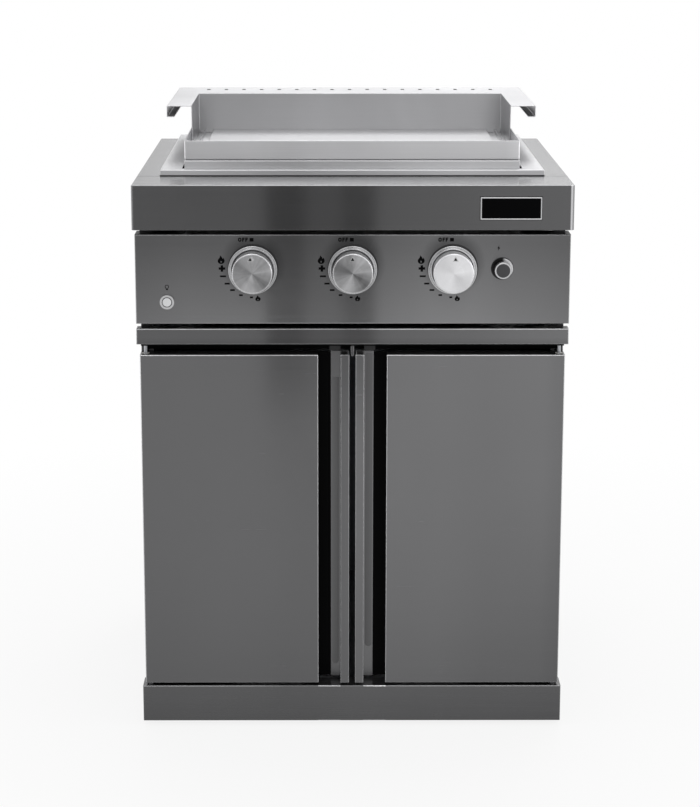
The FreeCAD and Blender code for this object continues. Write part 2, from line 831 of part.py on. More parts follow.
def make_knobs():
    items = []
    bezels = []
    length = s.knob_stands_out - s.knob_gap
    for name, side in ROWS.items():
        x = s.knob_pitch * side
        bezel = turned(
            f"bezel_{name}",
            [
                (s.bezel_bore, 0),
                (s.bezel_radius, 0),
                (s.bezel_radius, -s.bezel_step),
                (s.bezel_step_radius, -s.bezel_step),
                (s.bezel_step_radius, -s.bezel_height),
                (s.bezel_bore, -s.bezel_height),
            ],
        )
        bezels.append(place(bezel, x, ROW_FACE, KNOB_LEVEL))
        knob = turned(
            f"knob_{name}",
            [
                (0, 0),
                (s.knob_radius, 0),
                (s.knob_radius, -length),
                (0, -length),
            ],
        )
        cut_prism(knob, "socket", s.stem_radius, s.knob_socket, (0, -s.knob_socket, 0), "y")
        mark = [
            (-s.knob_mark / 2, s.knob_mark_place),
            (s.knob_mark / 2, s.knob_mark_place),
            (0, s.knob_mark_place + s.knob_mark),
        ]
        cut_outline(knob, "mark", "xz", mark, -length, s.knob_mark_depth)
        place(knob, x, ROW_FACE - s.knob_gap, KNOB_LEVEL)

        front_end = s.knob_socket + s.knob_gap
        rear_end = s.valve_setback + s.plug_setback + s.slip + s.stem_in_plug
        stem_start = (x, ROW_FACE - front_end, KNOB_LEVEL)
        stem = prism(f"valve_stem_{name}", s.stem_radius, front_end + rear_end, stem_start, "y")
        items += [knob, stem]
    return [group("knob_bezels", *bezels)] + items


def make_buttons():
    cap_rear = -s.ignitor_flange - s.ignitor_cap_gap
    cap_front = cap_rear - s.ignitor_cap_height
    housing = turned(
        "ignitor_housing",
        [
            (s.ignitor_shaft_radius + s.running, -s.ignitor_flange),
            (s.ignitor_flange_radius, -s.ignitor_flange),
            (s.ignitor_flange_radius, 0),
            (s.ignitor_barrel_radius, 0),
            (s.ignitor_barrel_radius, s.ignitor_barrel_length),
            (s.ignitor_shaft_radius + s.running, s.ignitor_barrel_length),
        ],
    )
    button = turned(
        "ignitor_button",
        [
            (0, cap_front),
            (s.ignitor_cap_radius, cap_front),
            (s.ignitor_cap_radius, cap_rear),
            (s.ignitor_shaft_radius, cap_rear),
            (s.ignitor_shaft_radius, s.ignitor_shaft_length),
            (0, s.ignitor_shaft_length),
        ],
    )
    ignitor_level = PANEL_LEVEL + s.panel_height - s.ignitor_drop
    for item in (housing, button):
        place(item, s.ignitor_place, ROW_FACE, ignitor_level)

    switch_housing = turned(
        "light_switch_housing",
        [
            (s.switch_button_radius + s.running, -s.switch_ring),
            (s.switch_ring_radius, -s.switch_ring),
            (s.switch_ring_radius, 0),
            (s.switch_barrel_radius, 0),
            (s.switch_barrel_radius, s.switch_barrel_length),
            (s.switch_button_radius + s.running, s.switch_barrel_length),
        ],
    )
    proud = -s.switch_ring - s.switch_button_proud
    switch_button = turned(
        "light_switch_button",
        [
            (0, proud),
            (s.switch_button_radius, proud),
            (s.switch_button_radius, proud + s.switch_button_length),
            (0, proud + s.switch_button_length),
        ],
    )
    switch_level = PANEL_LEVEL + s.panel_height - s.switch_drop
    for item in (switch_housing, switch_button):
        place(item, -s.switch_place, ROW_FACE, switch_level)
    return [group("button_housings", housing, switch_housing), button, switch_button]


def make_badge():
    rim = new_body("badge_rim")
    half = s.badge_width / 2
    add_block(rim, "blank", (s.badge_width, s.badge_depth, s.badge_height), (-half, 0, 0))
    fillet(rim, "corners", s.badge_rim / 2, along_depth)
    inner_size = (s.badge_width - s.badge_rim * 2, s.badge_depth * 3, s.badge_height - s.badge_rim * 2)
    cut_block(rim, "window", inner_size, (s.badge_rim - half, -s.badge_depth, s.badge_rim))
    level = TOP_LEVEL - s.badge_drop - s.badge_height / 2
    place(rim, s.badge_place, FRONT - s.badge_depth, level)
    plate_size = (inner_size[0], s.badge_plate, inner_size[2])
    plate_corner = (s.badge_place + s.badge_rim - half, FRONT - s.badge_plate, level + s.badge_rim)
    return [rim, block("badge_plate", plate_size, plate_corner)]


def along_depth(edge, shape):
    return edge.BoundBox.XLength < 1e-5 and edge.BoundBox.ZLength < 1e-5


def make_valves():
    bodies = []
    plugs = []
    half = s.valve_width / 2
    outlet_end = s.valve_length + s.outlet_length
    for name, side in ROWS.items():
        body = new_body(f"valve_{name}")
        add_block(body, "housing", (s.valve_width, s.valve_length, s.valve_width), (-half, 0, -half))
        add_prism(body, "outlet", s.outlet_radius, s.outlet_length, (0, s.valve_length, 0), "y")
        add_prism(body, "nozzle", s.nozzle_radius, s.nozzle_length, (0, outlet_end, 0), "y")
        boss_size = (s.inlet_boss_width, s.inlet_boss_width, s.manifold_drop - half)
        boss_corner = (
            -s.inlet_boss_width / 2,
            s.manifold_setback - s.inlet_boss_width / 2,
            -s.manifold_drop,
        )
        add_block(body, "inlet_boss", boss_size, boss_corner)
        saddle_start = (-half, s.manifold_setback, -s.manifold_drop)
        cut_rod(body, "saddle", s.manifold_radius, s.valve_width, saddle_start, "x")
        cavity_depth = s.plug_setback + s.plug_length
        cut_rod(body, "cavity", s.plug_radius + s.running, cavity_depth, (0, 0, 0), "y")
        bodies.append(place(body, s.knob_pitch * side, VALVE_FRONT, KNOB_LEVEL))
        plug = new_body(f"valve_plug_{name}")
        plug_length = s.plug_length - s.slip * 2
        add_rod(plug, "barrel", s.plug_radius, plug_length, (0, s.slip, 0), "y")
        socket_radius = s.stem_radius + s.running
        cut_prism(plug, "socket", socket_radius, s.plug_socket, (0, s.slip, 0), "y")
        plugs.append(place(plug, s.knob_pitch * side, VALVE_FRONT + s.plug_setback, KNOB_LEVEL))
    return [group("valve_bodies", *bodies)] + plugs


def make_gas_pipes():
    end = s.pipe_place - s.elbow_size / 2
    start = (-s.manifold_left, MANIFOLD_PLACE, MANIFOLD_LEVEL)
    manifold = rod("gas_manifold", s.manifold_radius, s.manifold_left + end, start, "x")

    strap_level = -s.manifold_radius - s.bracket_steel
    reach = BOX_FRONT - MANIFOLD_PLACE
    points = [
        (-s.manifold_radius, strap_level),
        (-s.manifold_radius, -s.manifold_radius),
        (reach - s.bracket_steel, -s.manifold_radius),
        (reach - s.bracket_steel, strap_level + s.bracket_leg),
        (reach, strap_level + s.bracket_leg),
        (reach, strap_level),
    ]
    brackets = []
    for name, side in (("left", -1), ("right", 1)):
        bracket = new_body(f"manifold_bracket_{name}")
        add_outline(bracket, "angle", "yz", points, -s.bracket_width / 2, s.bracket_width)
        brackets.append(place(bracket, s.manifold_bracket_place * side, MANIFOLD_PLACE, MANIFOLD_LEVEL))

    half = s.elbow_size / 2
    pipe = new_body("gas_inlet_pipe")
    add_block(pipe, "elbow", (s.elbow_size, s.elbow_size, s.elbow_size), (-half, -half, -half))
    inlet_end = FRONT + s.counter_depth - MANIFOLD_PLACE
    nut_start = inlet_end - s.inlet_length - s.pipe_nut_length
    add_rod(pipe, "run", s.pipe_radius, nut_start, (0, 0, 0), "y")
    add_prism(pipe, "nut", s.pipe_nut_radius, s.pipe_nut_length, (0, nut_start, 0), "y")
    inlet_start = (0, inlet_end - s.inlet_length, 0)
    add_rod(pipe, "inlet", s.inlet_radius, s.inlet_length, inlet_start, "y")
    cut_prism(pipe, "bore", s.pipe_bore, inlet_end, (0, 0, 0), "y", HOLE_SIDES)
    place(pipe, s.pipe_place, MANIFOLD_PLACE, MANIFOLD_LEVEL)
    return [manifold, group("manifold_brackets", *brackets), pipe]


def make_griddle_frame():
    frame = new_body("griddle_frame")
    half = FRAME_WIDTH / 2
    add_block(frame, "blank", (FRAME_WIDTH, s.frame_length, s.frame_height), (-half, 0, 0))
    fillet(frame, "folds", s.frame_bend, top_edges)
    shell(frame, "hollow", s.sheet, "z min")
    opening = s.box_width + s.frame_side_gap * 2
    corner = (-opening / 2, s.box_front - s.frame_front, 0)
    cut_block(frame, "opening", (opening, s.box_length, s.frame_height * 2), corner)
    place(frame, 0, FRONT + s.frame_front, TOP_LEVEL)
    return [frame]


def make_burner_box():
    box = new_body("burner_box")
    half = s.box_width / 2
    add_block(box, "blank", (s.box_width, s.box_length, s.box_depth), (-half, 0, 0))
    fillet(box, "folds", s.frame_bend, top_edges)
    shell(box, "hollow", s.sheet, "z min")
    rim = s.box_rim
    opening = (s.box_width - rim * 2, s.box_length - rim * 2, THROUGH)
    cut_block(box, "opening", opening, (rim - half, rim, s.box_depth - s.sheet * 2))
    for name, y in (("front", s.sheet), ("back", s.box_length - s.sheet - s.box_foot)):
        size = (s.box_width - s.sheet * 2, s.box_foot, s.sheet)
        add_block(box, name + "_foot", size, (s.sheet - half, y, 0))
    hole_width = s.burner_width + s.burner_hole_gap * 2
    hole_height = s.burner_height + s.burner_hole_gap * 2
    hole_corner = (
        -s.knob_pitch - hole_width / 2,
        -s.sheet,
        KNOB_LEVEL - hole_height / 2 - BOX_BOTTOM,
    )
    hole = cut_block(box, "burner_hole", (hole_width, THROUGH, hole_height), hole_corner)
    row_of(box, "burner_holes", hole, "X_Axis", s.knob_pitch, 3)
    spark_start = (
        s.electrode_offset - s.knob_pitch,
        -s.sheet,
        BURNER_LEVEL + s.electrode_level - BOX_BOTTOM,
    )
    hole = cut_prism(box, "spark_hole", s.ceramic_radius, THROUGH, spark_start, "y")
    row_of(box, "spark_holes", hole, "X_Axis", s.knob_pitch, 3)
    place(box, 0, BOX_FRONT, BOX_BOTTOM)
    return [box]


def make_burners():
    items = []
    half = s.burner_height / 2
    high = s.burner_rise
    end = s.box_front + s.box_length - s.burner_end_gap
    mitre = half * TAN_EIGHTH_TURN
    foot, head = s.burner_rise_start, s.burner_rise_start + s.burner_rise
    points = [
        (s.burner_mouth, -half),
        (foot + mitre, -half),
        (head + mitre, high - half),
        (end, high - half),
        (end, high + half),
        (head - mitre, high + half),
        (foot - mitre, half),
        (s.burner_mouth, half),
    ]
    for name, side in ROWS.items():
        burner = new_body(f"burner_{name}")
        add_outline(burner, "tube", "yz", points, -s.burner_width / 2, s.burner_width)
        shell(burner, "hollow", s.sheet, "y min")
        window_size = (s.burner_width, s.window_length, s.window_height)
        window_corner = (-s.burner_width / 2, s.window_place, -s.window_height / 2)
        cut_block(burner, "air_windows", window_size, window_corner)
        port_size = (s.port_width, s.port_length, half)
        port = cut_block(burner, "port", port_size, (-s.port_width / 2, s.port_start, high))
        row_of(burner, "ports", port, "Y_Axis", s.port_pitch, s.port_count)
        tail_size = (s.tail_width, s.burner_end_gap - s.sheet, s.sheet)
        add_block(burner, "tail", tail_size, (-s.tail_width / 2, end, high))
        items.append(place(burner, s.knob_pitch * side, FRONT, KNOB_LEVEL))

    electrodes = []
    level = BURNER_LEVEL + s.electrode_level
    for name, side in ROWS.items():
        x = s.knob_pitch * side + s.electrode_offset
        start = (x, BOX_FRONT - s.ceramic_front, level)
        ceramic = prism(f"ceramic_{name}", s.ceramic_radius, s.ceramic_length, start, "y")
        tip_start = (x, BOX_FRONT - s.ceramic_front + s.ceramic_length, level)
        tip = prism(f"spark_rod_{name}", s.spark_rod_radius, s.spark_rod_length, tip_start, "y")
        electrodes.append(fuse(f"electrode_{name}", ceramic, tip))
    items.append(group("igniter_electrodes", *electrodes))

    module_size = (s.module_width, s.module_depth, s.module_height)
    module_corner = (s.module_place, BOX_FRONT - s.module_depth, BOX_BOTTOM + s.module_level)
    items.append(block("ignition_module", module_size, module_corner))
    return items


def make_griddle_pan():
    pan = new_body("griddle_pan")
    half = s.box_width / 2
    add_block(pan, "blank", (s.box_width, s.pan_length, s.pan_height), (-half, 0, 0))
    fillet(pan, "corners", s.pan_corner, upright_front_edges)
    shell(pan, "hollow", s.pan_sheet, "z max")
    inset = s.pan_base_inset
    drop = s.pan_lift - s.slip
    base_size = (s.box_width - inset * 2, s.pan_length - inset * 2, drop)
    add_block(pan, "base", base_size, (inset - half, inset, -drop))
    ridge_size = (s.sheet, s.pan_length - s.pan_sheet * 3, s.gutter_ridge)
    ridge_x = PLATE_WIDTH / 2 + s.gutter_width
    for name, x in (("left", -ridge_x - s.sheet), ("right", ridge_x)):
        add_block(pan, name + "_ridge", ridge_size, (x, s.pan_sheet, s.pan_sheet))
    drain_x = PLATE_WIDTH / 2 + s.gutter_width / 2
    outer = s.drain_radius + s.spout_wall
    spout_start = (drain_x, s.drain_setback, -s.spout_length)
    add_prism(pan, "spout", outer, s.spout_length, spout_start, "z", HOLE_SIDES)
    cut_prism(pan, "drain", s.drain_radius, s.spout_length * 2, spout_start, "z", HOLE_SIDES)
    place(pan, 0, BOX_FRONT, PAN_LEVEL)

    plate = new_body("cooking_plate")
    plate_length = GUARD_BACK - s.slip - BOX_FRONT - s.pan_sheet - s.slip
    add_block(plate, "blank", (PLATE_WIDTH, plate_length, s.plate_thickness), (-PLATE_WIDTH / 2, 0, 0))
    fillet(plate, "edges", s.plate_bend, top_edges)
    place(plate, 0, BOX_FRONT + s.pan_sheet + s.slip, PAN_FLOOR)
    return [pan, plate]


def make_splash_guard():
    guard = new_body("splash_guard")
    sheet_steel = s.sheet
    wing_front = FRONT + s.frame_front + s.wing_front
    side_front = FRONT + s.frame_front + s.guard_side_front
    rear = FRONT + s.frame_front + s.hood_rear
    top, outer, inner = GUARD_TOP, FRAME_WIDTH / 2, GUARD_SIDE - sheet_steel
    wing = [
        (-inner, top),
        (-outer, top),
        (-outer, top - s.wing_drop),
        (s.wing_return - outer, top - s.wing_drop),
        (s.wing_return - outer, top - s.wing_drop + sheet_steel),
        (sheet_steel - outer, top - s.wing_drop + sheet_steel),
        (sheet_steel - outer, top - sheet_steel),
        (-inner, top - sheet_steel),
    ]
    left_wing = add_outline(guard, "left_wing", "xz", wing, wing_front, rear - wing_front)
    pan_back = BOX_FRONT + s.pan_length
    pan_top = PAN_LEVEL + s.pan_height + s.slip
    floor = PAN_FLOOR + s.slip
    rim = BOX_TOP + s.slip
    side = [
        (side_front, floor),
        (side_front, top - sheet_steel),
        (rear, top - sheet_steel),
        (rear, rim),
        (pan_back + s.slip, rim),
        (pan_back + s.slip, pan_top),
        (GUARD_BACK + sheet_steel, pan_top),
        (GUARD_BACK + sheet_steel, floor),
    ]
    left_side = add_outline(guard, "left_side", "yz", side, -GUARD_SIDE, sheet_steel)
    doc.recompute()
    other_side = guard.newObject("PartDesign::Mirrored", "splash_guard_other_side")
    other_side.Originals = [left_wing, left_side]
    other_side.MirrorPlane = (origin_feature(guard, "YZ_Plane"), [""])
    guard.Tip = other_side
    width = GUARD_SIDE * 2
    back_size = (width, sheet_steel, top - floor)
    add_block(guard, "back_wall", back_size, (-GUARD_SIDE, GUARD_BACK, floor))
    top_size = (width, rear - GUARD_BACK, sheet_steel)
    add_block(guard, "hood_top", top_size, (-GUARD_SIDE, GUARD_BACK, top - sheet_steel))
    hood_foot = TOP_LEVEL + s.frame_height + s.slip
    rear_size = (width, sheet_steel, top - hood_foot)
    add_block(guard, "hood_back", rear_size, (-GUARD_SIDE, rear - sheet_steel, hood_foot))
    first_x = -s.hood_slot_pitch * (s.hood_slot_count - 1) / 2 - s.hood_slot_width / 2
    slot_size = (s.hood_slot_width, s.hood_slot_length, THROUGH)
    slot_corner = (first_x, rear - s.hood_slot_inset, top - sheet_steel * 2)
    slot = cut_block(guard, "hood_slot", slot_size, slot_corner)
    row_of(guard, "hood_slots", slot, "X_Axis", s.hood_slot_pitch, s.hood_slot_count)
    return [guard]


def check_document():
    for item in doc.Objects:
        faults = [state for state in item.State if state in ("Invalid", "Error")]
        if faults:
            raise RuntimeError(f"{item.Label} is {faults}")


def export(subparts):
    os.makedirs("parts", exist_ok=True)
    for item in subparts:
        if item.Shape.isNull() or not item.Shape.isValid():
            raise RuntimeError(f"{item.Label} has no valid shape")
        item.Shape.exportStep(f"parts/{item.Label}.step")
    print(len(subparts), "sub-parts written")


SUBPARTS = (
    make_countertop()
    + make_cabinet()
    + make_feet()
    + make_front_rail()
    + make_hinge_pins()
    + make_doors()
    + make_drip_tray()
    + make_control_panel()
    + make_knobs()
    + make_buttons()
    + make_badge()
    + make_valves()
    + make_gas_pipes()
    + make_griddle_frame()
    + make_burner_box()
    + make_burners()
    + make_griddle_pan()
    + make_splash_guard()
)
doc.recompute()
check_document()
export(SUBPARTS)
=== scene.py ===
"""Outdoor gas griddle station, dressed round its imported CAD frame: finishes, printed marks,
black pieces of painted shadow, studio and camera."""

import math
from functools import reduce

import bmesh
import bpy
from mathutils import Matrix, Vector


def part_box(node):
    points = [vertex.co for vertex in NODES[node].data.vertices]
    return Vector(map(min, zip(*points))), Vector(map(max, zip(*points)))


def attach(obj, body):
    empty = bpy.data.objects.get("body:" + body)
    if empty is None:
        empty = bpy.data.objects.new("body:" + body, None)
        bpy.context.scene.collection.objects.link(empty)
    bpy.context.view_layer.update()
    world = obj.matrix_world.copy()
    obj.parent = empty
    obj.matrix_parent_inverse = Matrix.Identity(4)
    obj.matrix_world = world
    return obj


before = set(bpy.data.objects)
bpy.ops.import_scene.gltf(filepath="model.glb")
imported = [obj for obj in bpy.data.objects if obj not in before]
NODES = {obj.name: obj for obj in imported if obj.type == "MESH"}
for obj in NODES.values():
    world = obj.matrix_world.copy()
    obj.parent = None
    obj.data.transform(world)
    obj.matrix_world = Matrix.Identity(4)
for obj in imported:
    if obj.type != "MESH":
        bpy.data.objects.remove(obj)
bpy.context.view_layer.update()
MM = 0.001
KNOBS = ("left", "middle", "right")


def middle_of(node):
    """The middle of a node's box."""
    low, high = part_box(node)
    return (low + high) / 2


def front_of(node):
    """The middle of the front face of a node's box."""
    low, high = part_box(node)
    return Vector(((low.x + high.x) / 2, low.y, (low.z + high.z) / 2))


# Finishes

# A face counts as level where the upward part of its normal is more than this.
LEVEL_NORMAL = 0.7
# The largest part of a rounded normal: where a fold's painted highlight is at its brightest,
# and where it ends.
FOLD_NORMAL = (0.80, 0.985)


class Finish:
    """A Principled material whose colour, roughness and bump come from procedural nodes."""

    def __init__(self, name, metallic=0.0, **sockets):
        self.material = bpy.data.materials.new(name)
        self.material.use_nodes = True
        self.tree = self.material.node_tree
        self.shader = self.tree.nodes["Principled BSDF"]
        self.shader.inputs["Metallic"].default_value = metallic
        for socket, value in sockets.items():
            self.shader.inputs[socket.replace("_", " ")].default_value = value
        coordinates = self.add("TexCoord")
        self.place = coordinates.outputs["Object"]
        self.facing = coordinates.outputs["Normal"]

    def add(self, kind, props=None, **inputs):
        """A node of this kind. An input is a value or another node's output; _2 is input 2."""
        made = self.tree.nodes.new("ShaderNode" + kind)
        for name, value in (props or {}).items():
            setattr(made, name, value)
        for name, value in inputs.items():
            socket = made.inputs[int(name[1:]) if name[0] == "_" else name]
            if isinstance(value, bpy.types.NodeSocket):
                self.tree.links.new(value, socket)
            else:
                socket.default_value = value
        return made

    def link(self, socket, output):
        self.tree.links.new(output, self.shader.inputs[socket])

    def math(self, operation, *values):
        inputs = {f"_{n}": value for n, value in enumerate(values)}
        return self.add("Math", {"operation": operation}, **inputs).outputs[0]

    def total(self, *values):
        return reduce(lambda first, second: self.math("ADD", first, second), values)

    def product(self, *values):
        return reduce(lambda first, second: self.math("MULTIPLY", first, second), values)

    def opposite(self, value):
        """1 less the value."""
        return self.math("SUBTRACT", 1.0, value)

    def vector_math(self, operation, *vectors):
        inputs = {f"_{n}": vector for n, vector in enumerate(vectors)}
        return self.add("VectorMath", {"operation": operation}, **inputs).outputs

    def axes(self, vector):
        return self.add("SeparateXYZ", Vector=vector).outputs

    def vector(self, x=0.0, y=0.0, z=0.0):
        return self.add("CombineXYZ", X=x, Y=y, Z=z).outputs[0]

    def length(self, vector):
        return self.vector_math("LENGTH", vector)["Value"]

    def measure(self, axis):
        """How far along one of the object's own axes each point lies, in metres."""
        return self.axes(self.place)[axis]

    def from_point(self, point):
        """The place of each point, from the point given."""
        return self.vector_math("SUBTRACT", self.place, point)[0]

    def turned(self, vector, kind, source, target):
        """A vector or normal of one space, in the directions of another."""
        props = {"vector_type": kind, "convert_from": source, "convert_to": target}
        return self.add("VectorTransform", props, Vector=vector).outputs[0]

    def noise(self, scale, detail=2.0, rough=0.5, vector=None, warp=0.0):
        """Noise by place, or by the vector given. One scale holds for three axes alike."""
        scales = scale if isinstance(scale, tuple) else (scale,) * 3
        source = self.place if vector is None else vector
        scaled = self.add("Mapping", Vector=source, Scale=scales).outputs[0]
        made = self.add("TexNoise", Vector=scaled, Scale=1.0, Detail=detail, Roughness=rough,
                        Distortion=warp)
        return made.outputs["Fac"]

    def spread(self, value, low, high, start=0.25, end=0.75):
        """The value, taken from start..end to low..high."""
        ends = {"From Min": start, "From Max": end, "To Min": low, "To Max": high}
        return self.add("MapRange", Value=value, **ends).outputs["Result"]

    def spread_about(self, value, level, drifts):
        """The value, spread about a level: from the first drift to the second."""
        least, most = drifts
        return self.spread(value, level + least, level + most)

    def profile(self, value, stops):
        """A tone by value, from (value, tone) stops, straight between them."""
        (first, _), (last, _) = stops[0], stops[-1]
        most = max(tone for _, tone in stops)
        ramp = self.add("ValToRGB", Fac=self.spread(value, 0.0, 1.0, first, last))
        marks = ramp.color_ramp.elements
        marks[0].position, marks[1].position = 0.0, 1.0
        for place, _ in stops[1:-1]:
            marks.new((place - first) / (last - first))
        for mark, (_, tone) in zip(marks, stops):
            mark.color = (tone / most, tone / most, tone / most, 1.0)
        return self.product(ramp.outputs["Color"], most)

    def mix(self, factor, first, second):
        """Two values, mixed."""
        props = {"data_type": "FLOAT"}
        return self.add("Mix", props, _0=factor, _2=first, _3=second).outputs[0]

    def blend(self, factor, first, second, kind="MIX"):
        """Two colours, or a colour and a node's output, mixed."""
        props = {"data_type": "RGBA", "blend_type": kind}
        return self.add("Mix", props, _0=factor, _6=first, _7=second).outputs[2]

    def lengthways(self, upright, level):
        """One value on upright faces and another on level ones."""
        rise = self.math("ABSOLUTE", self.axes(self.facing)["Z"])
        return self.mix(self.math("GREATER_THAN", rise, LEVEL_NORMAL), upright, level)

    def rounded(self, radius, samples):
        """The normal, as if the edges were rounded to this radius."""
        return self.add("Bevel", {"samples": samples}, Radius=radius).outputs["Normal"]

    def own_normal(self, rounded):
        """The size of each part of a rounded normal, in the object's own directions."""
        own = self.turned(rounded, "NORMAL", "WORLD", "OBJECT")
        return self.axes(self.vector_math("ABSOLUTE", own)[0])

    def painted_fold_highlight(self, rounded, gain):
        """1 on the flat faces of a box, rising to the gain along its folds: a painted highlight.
        """
        across, ahead, up = self.own_normal(rounded)
        squarest = self.math("MAXIMUM", self.math("MAXIMUM", across, ahead), up)
        return self.spread(squarest, gain, 1.0, *FOLD_NORMAL)

    def paint(self, colour, tone):
        """The base colour: the colour given, times a grey tone."""
        shade = self.add("CombineColor", Red=tone, Green=tone, Blue=tone).outputs[0]
        self.link("Base Color", self.blend(1.0, colour, shade, "MULTIPLY"))

    def bump(self, height, strength, distance, below=None):
        """Bump on the shader, over an earlier bump or rounding if there is one."""
        made = self.add("Bump", Height=height, Strength=strength, Distance=distance)
        if below is not None:
            self.tree.links.new(below, made.inputs["Normal"])
        self.link("Normal", made.outputs["Normal"])
        return made.outputs["Normal"]


# Noise scales, as repeats in a metre: along the brush lines and across them, then those of the
# drifting tone, of the handling marks in the gloss and of the faces' bow.
BRUSH_ALONG, BRUSH_ACROSS = 5, 1500
CLOUD_SCALE, MARK_SCALE, BOW_SCALE = (3.1, 3.1, 1.2), (26, 26, 19), (1.7, 1.7, 1.3)
# Between which of their values the drifting tone and the handling marks count.
CLOUD_RANGE, MARK_RANGE = (0.3, 0.7), (0.45, 0.72)
# How much the brush lines change the tone, and how they stand out.
BRUSH_TONE = 0.03
BRUSH_STRENGTH, BRUSH_DEPTH = 0.015, 0.0004
# How far the brush lines and the handling marks take the roughness down and up.
BRUSH_GLOSS, MARK_GLOSS = (-0.04, 0.05), (-0.005, 0.015)
# The way that the gloss is drawn out, square to the brush lines of both kinds of face.
BRUSH_SQUARE = (0.0, 0.15, 1.0)
FOLD_RADIUS = 1.6 * MM
STRIP_BLUR = 0.6 * MM
# Blue beside red and green, since brushed steel is a touch cool.
COOLNESS = 1.02
# No tone goes above this, however much its gains make of it.
BRIGHTEST = 0.95
# How light the painted highlights along folds are: of most sheets, of the doors, and of the
# plinth beside its glint.
FOLD_HIGHLIGHT = 0.60
DOOR_FOLD_HIGHLIGHT = 0.86
FOLD_HIGHLIGHT_DIM = 0.30

# The right knob's stem shows how far the knobs are apart and how high they are. The panel has
# painted shade round a place a little above each knob's axis.
RIGHT_STEM = middle_of("valve_stem_right")
KNOB_PITCH = RIGHT_STEM.x
KNOB_SHADE_HEIGHT = RIGHT_STEM.z + 10 * MM


def grey(level):
    """The linear colour of steel that is this light."""
    return (level, level, level * COOLNESS, 1.0)


def fold_highlight_gain(steel, level, painted_fold_tone, glint):
    """How much lighter a fold is painted, as a highlight, all along or only from near to far."""
    gain = painted_fold_tone / level
    if glint is None:
        return gain
    near, far = glint
    out = steel.math("ABSOLUTE", steel.measure("X"))
    between = steel.product(steel.math("GREATER_THAN", out, near),
                            steel.math("LESS_THAN", out, far))
    return steel.spread(between, FOLD_HIGHLIGHT_DIM / level, gain, 0.0, 1.0)


def painted_knob_shade(steel, least, near, far):
    """Painted shade: the least tone within the near radius round each knob, and 1 from the far
    one on.
    """
    across = steel.measure("X")
    nearest = steel.product(steel.math("ROUND", steel.math("DIVIDE", across, KNOB_PITCH)),
                            KNOB_PITCH)
    aside = steel.math("SUBTRACT", across, nearest)
    above = steel.math("SUBTRACT", steel.measure("Z"), KNOB_SHADE_HEIGHT)
    away = steel.length(steel.vector(x=aside, z=above))
    within = steel.math("LESS_THAN", steel.math("ABSOLUTE", across), 1.5 * KNOB_PITCH)
    return steel.opposite(steel.product(steel.spread(away, 1.0 - least, 0.0, near, far), within))


def painted_strip_highlight(steel, start, stop, gain):
    """A painted highlight: the gain on upright faces from start to stop across the width, and 1
    elsewhere.
    """
    across = steel.measure("X")
    rise = steel.spread(across, 1.0, gain, start - STRIP_BLUR, start + STRIP_BLUR)
    fall = steel.spread(across, 1.0, 1.0 / gain, stop - STRIP_BLUR, stop + STRIP_BLUR)
    return steel.lengthways(steel.product(rise, fall), 1.0)


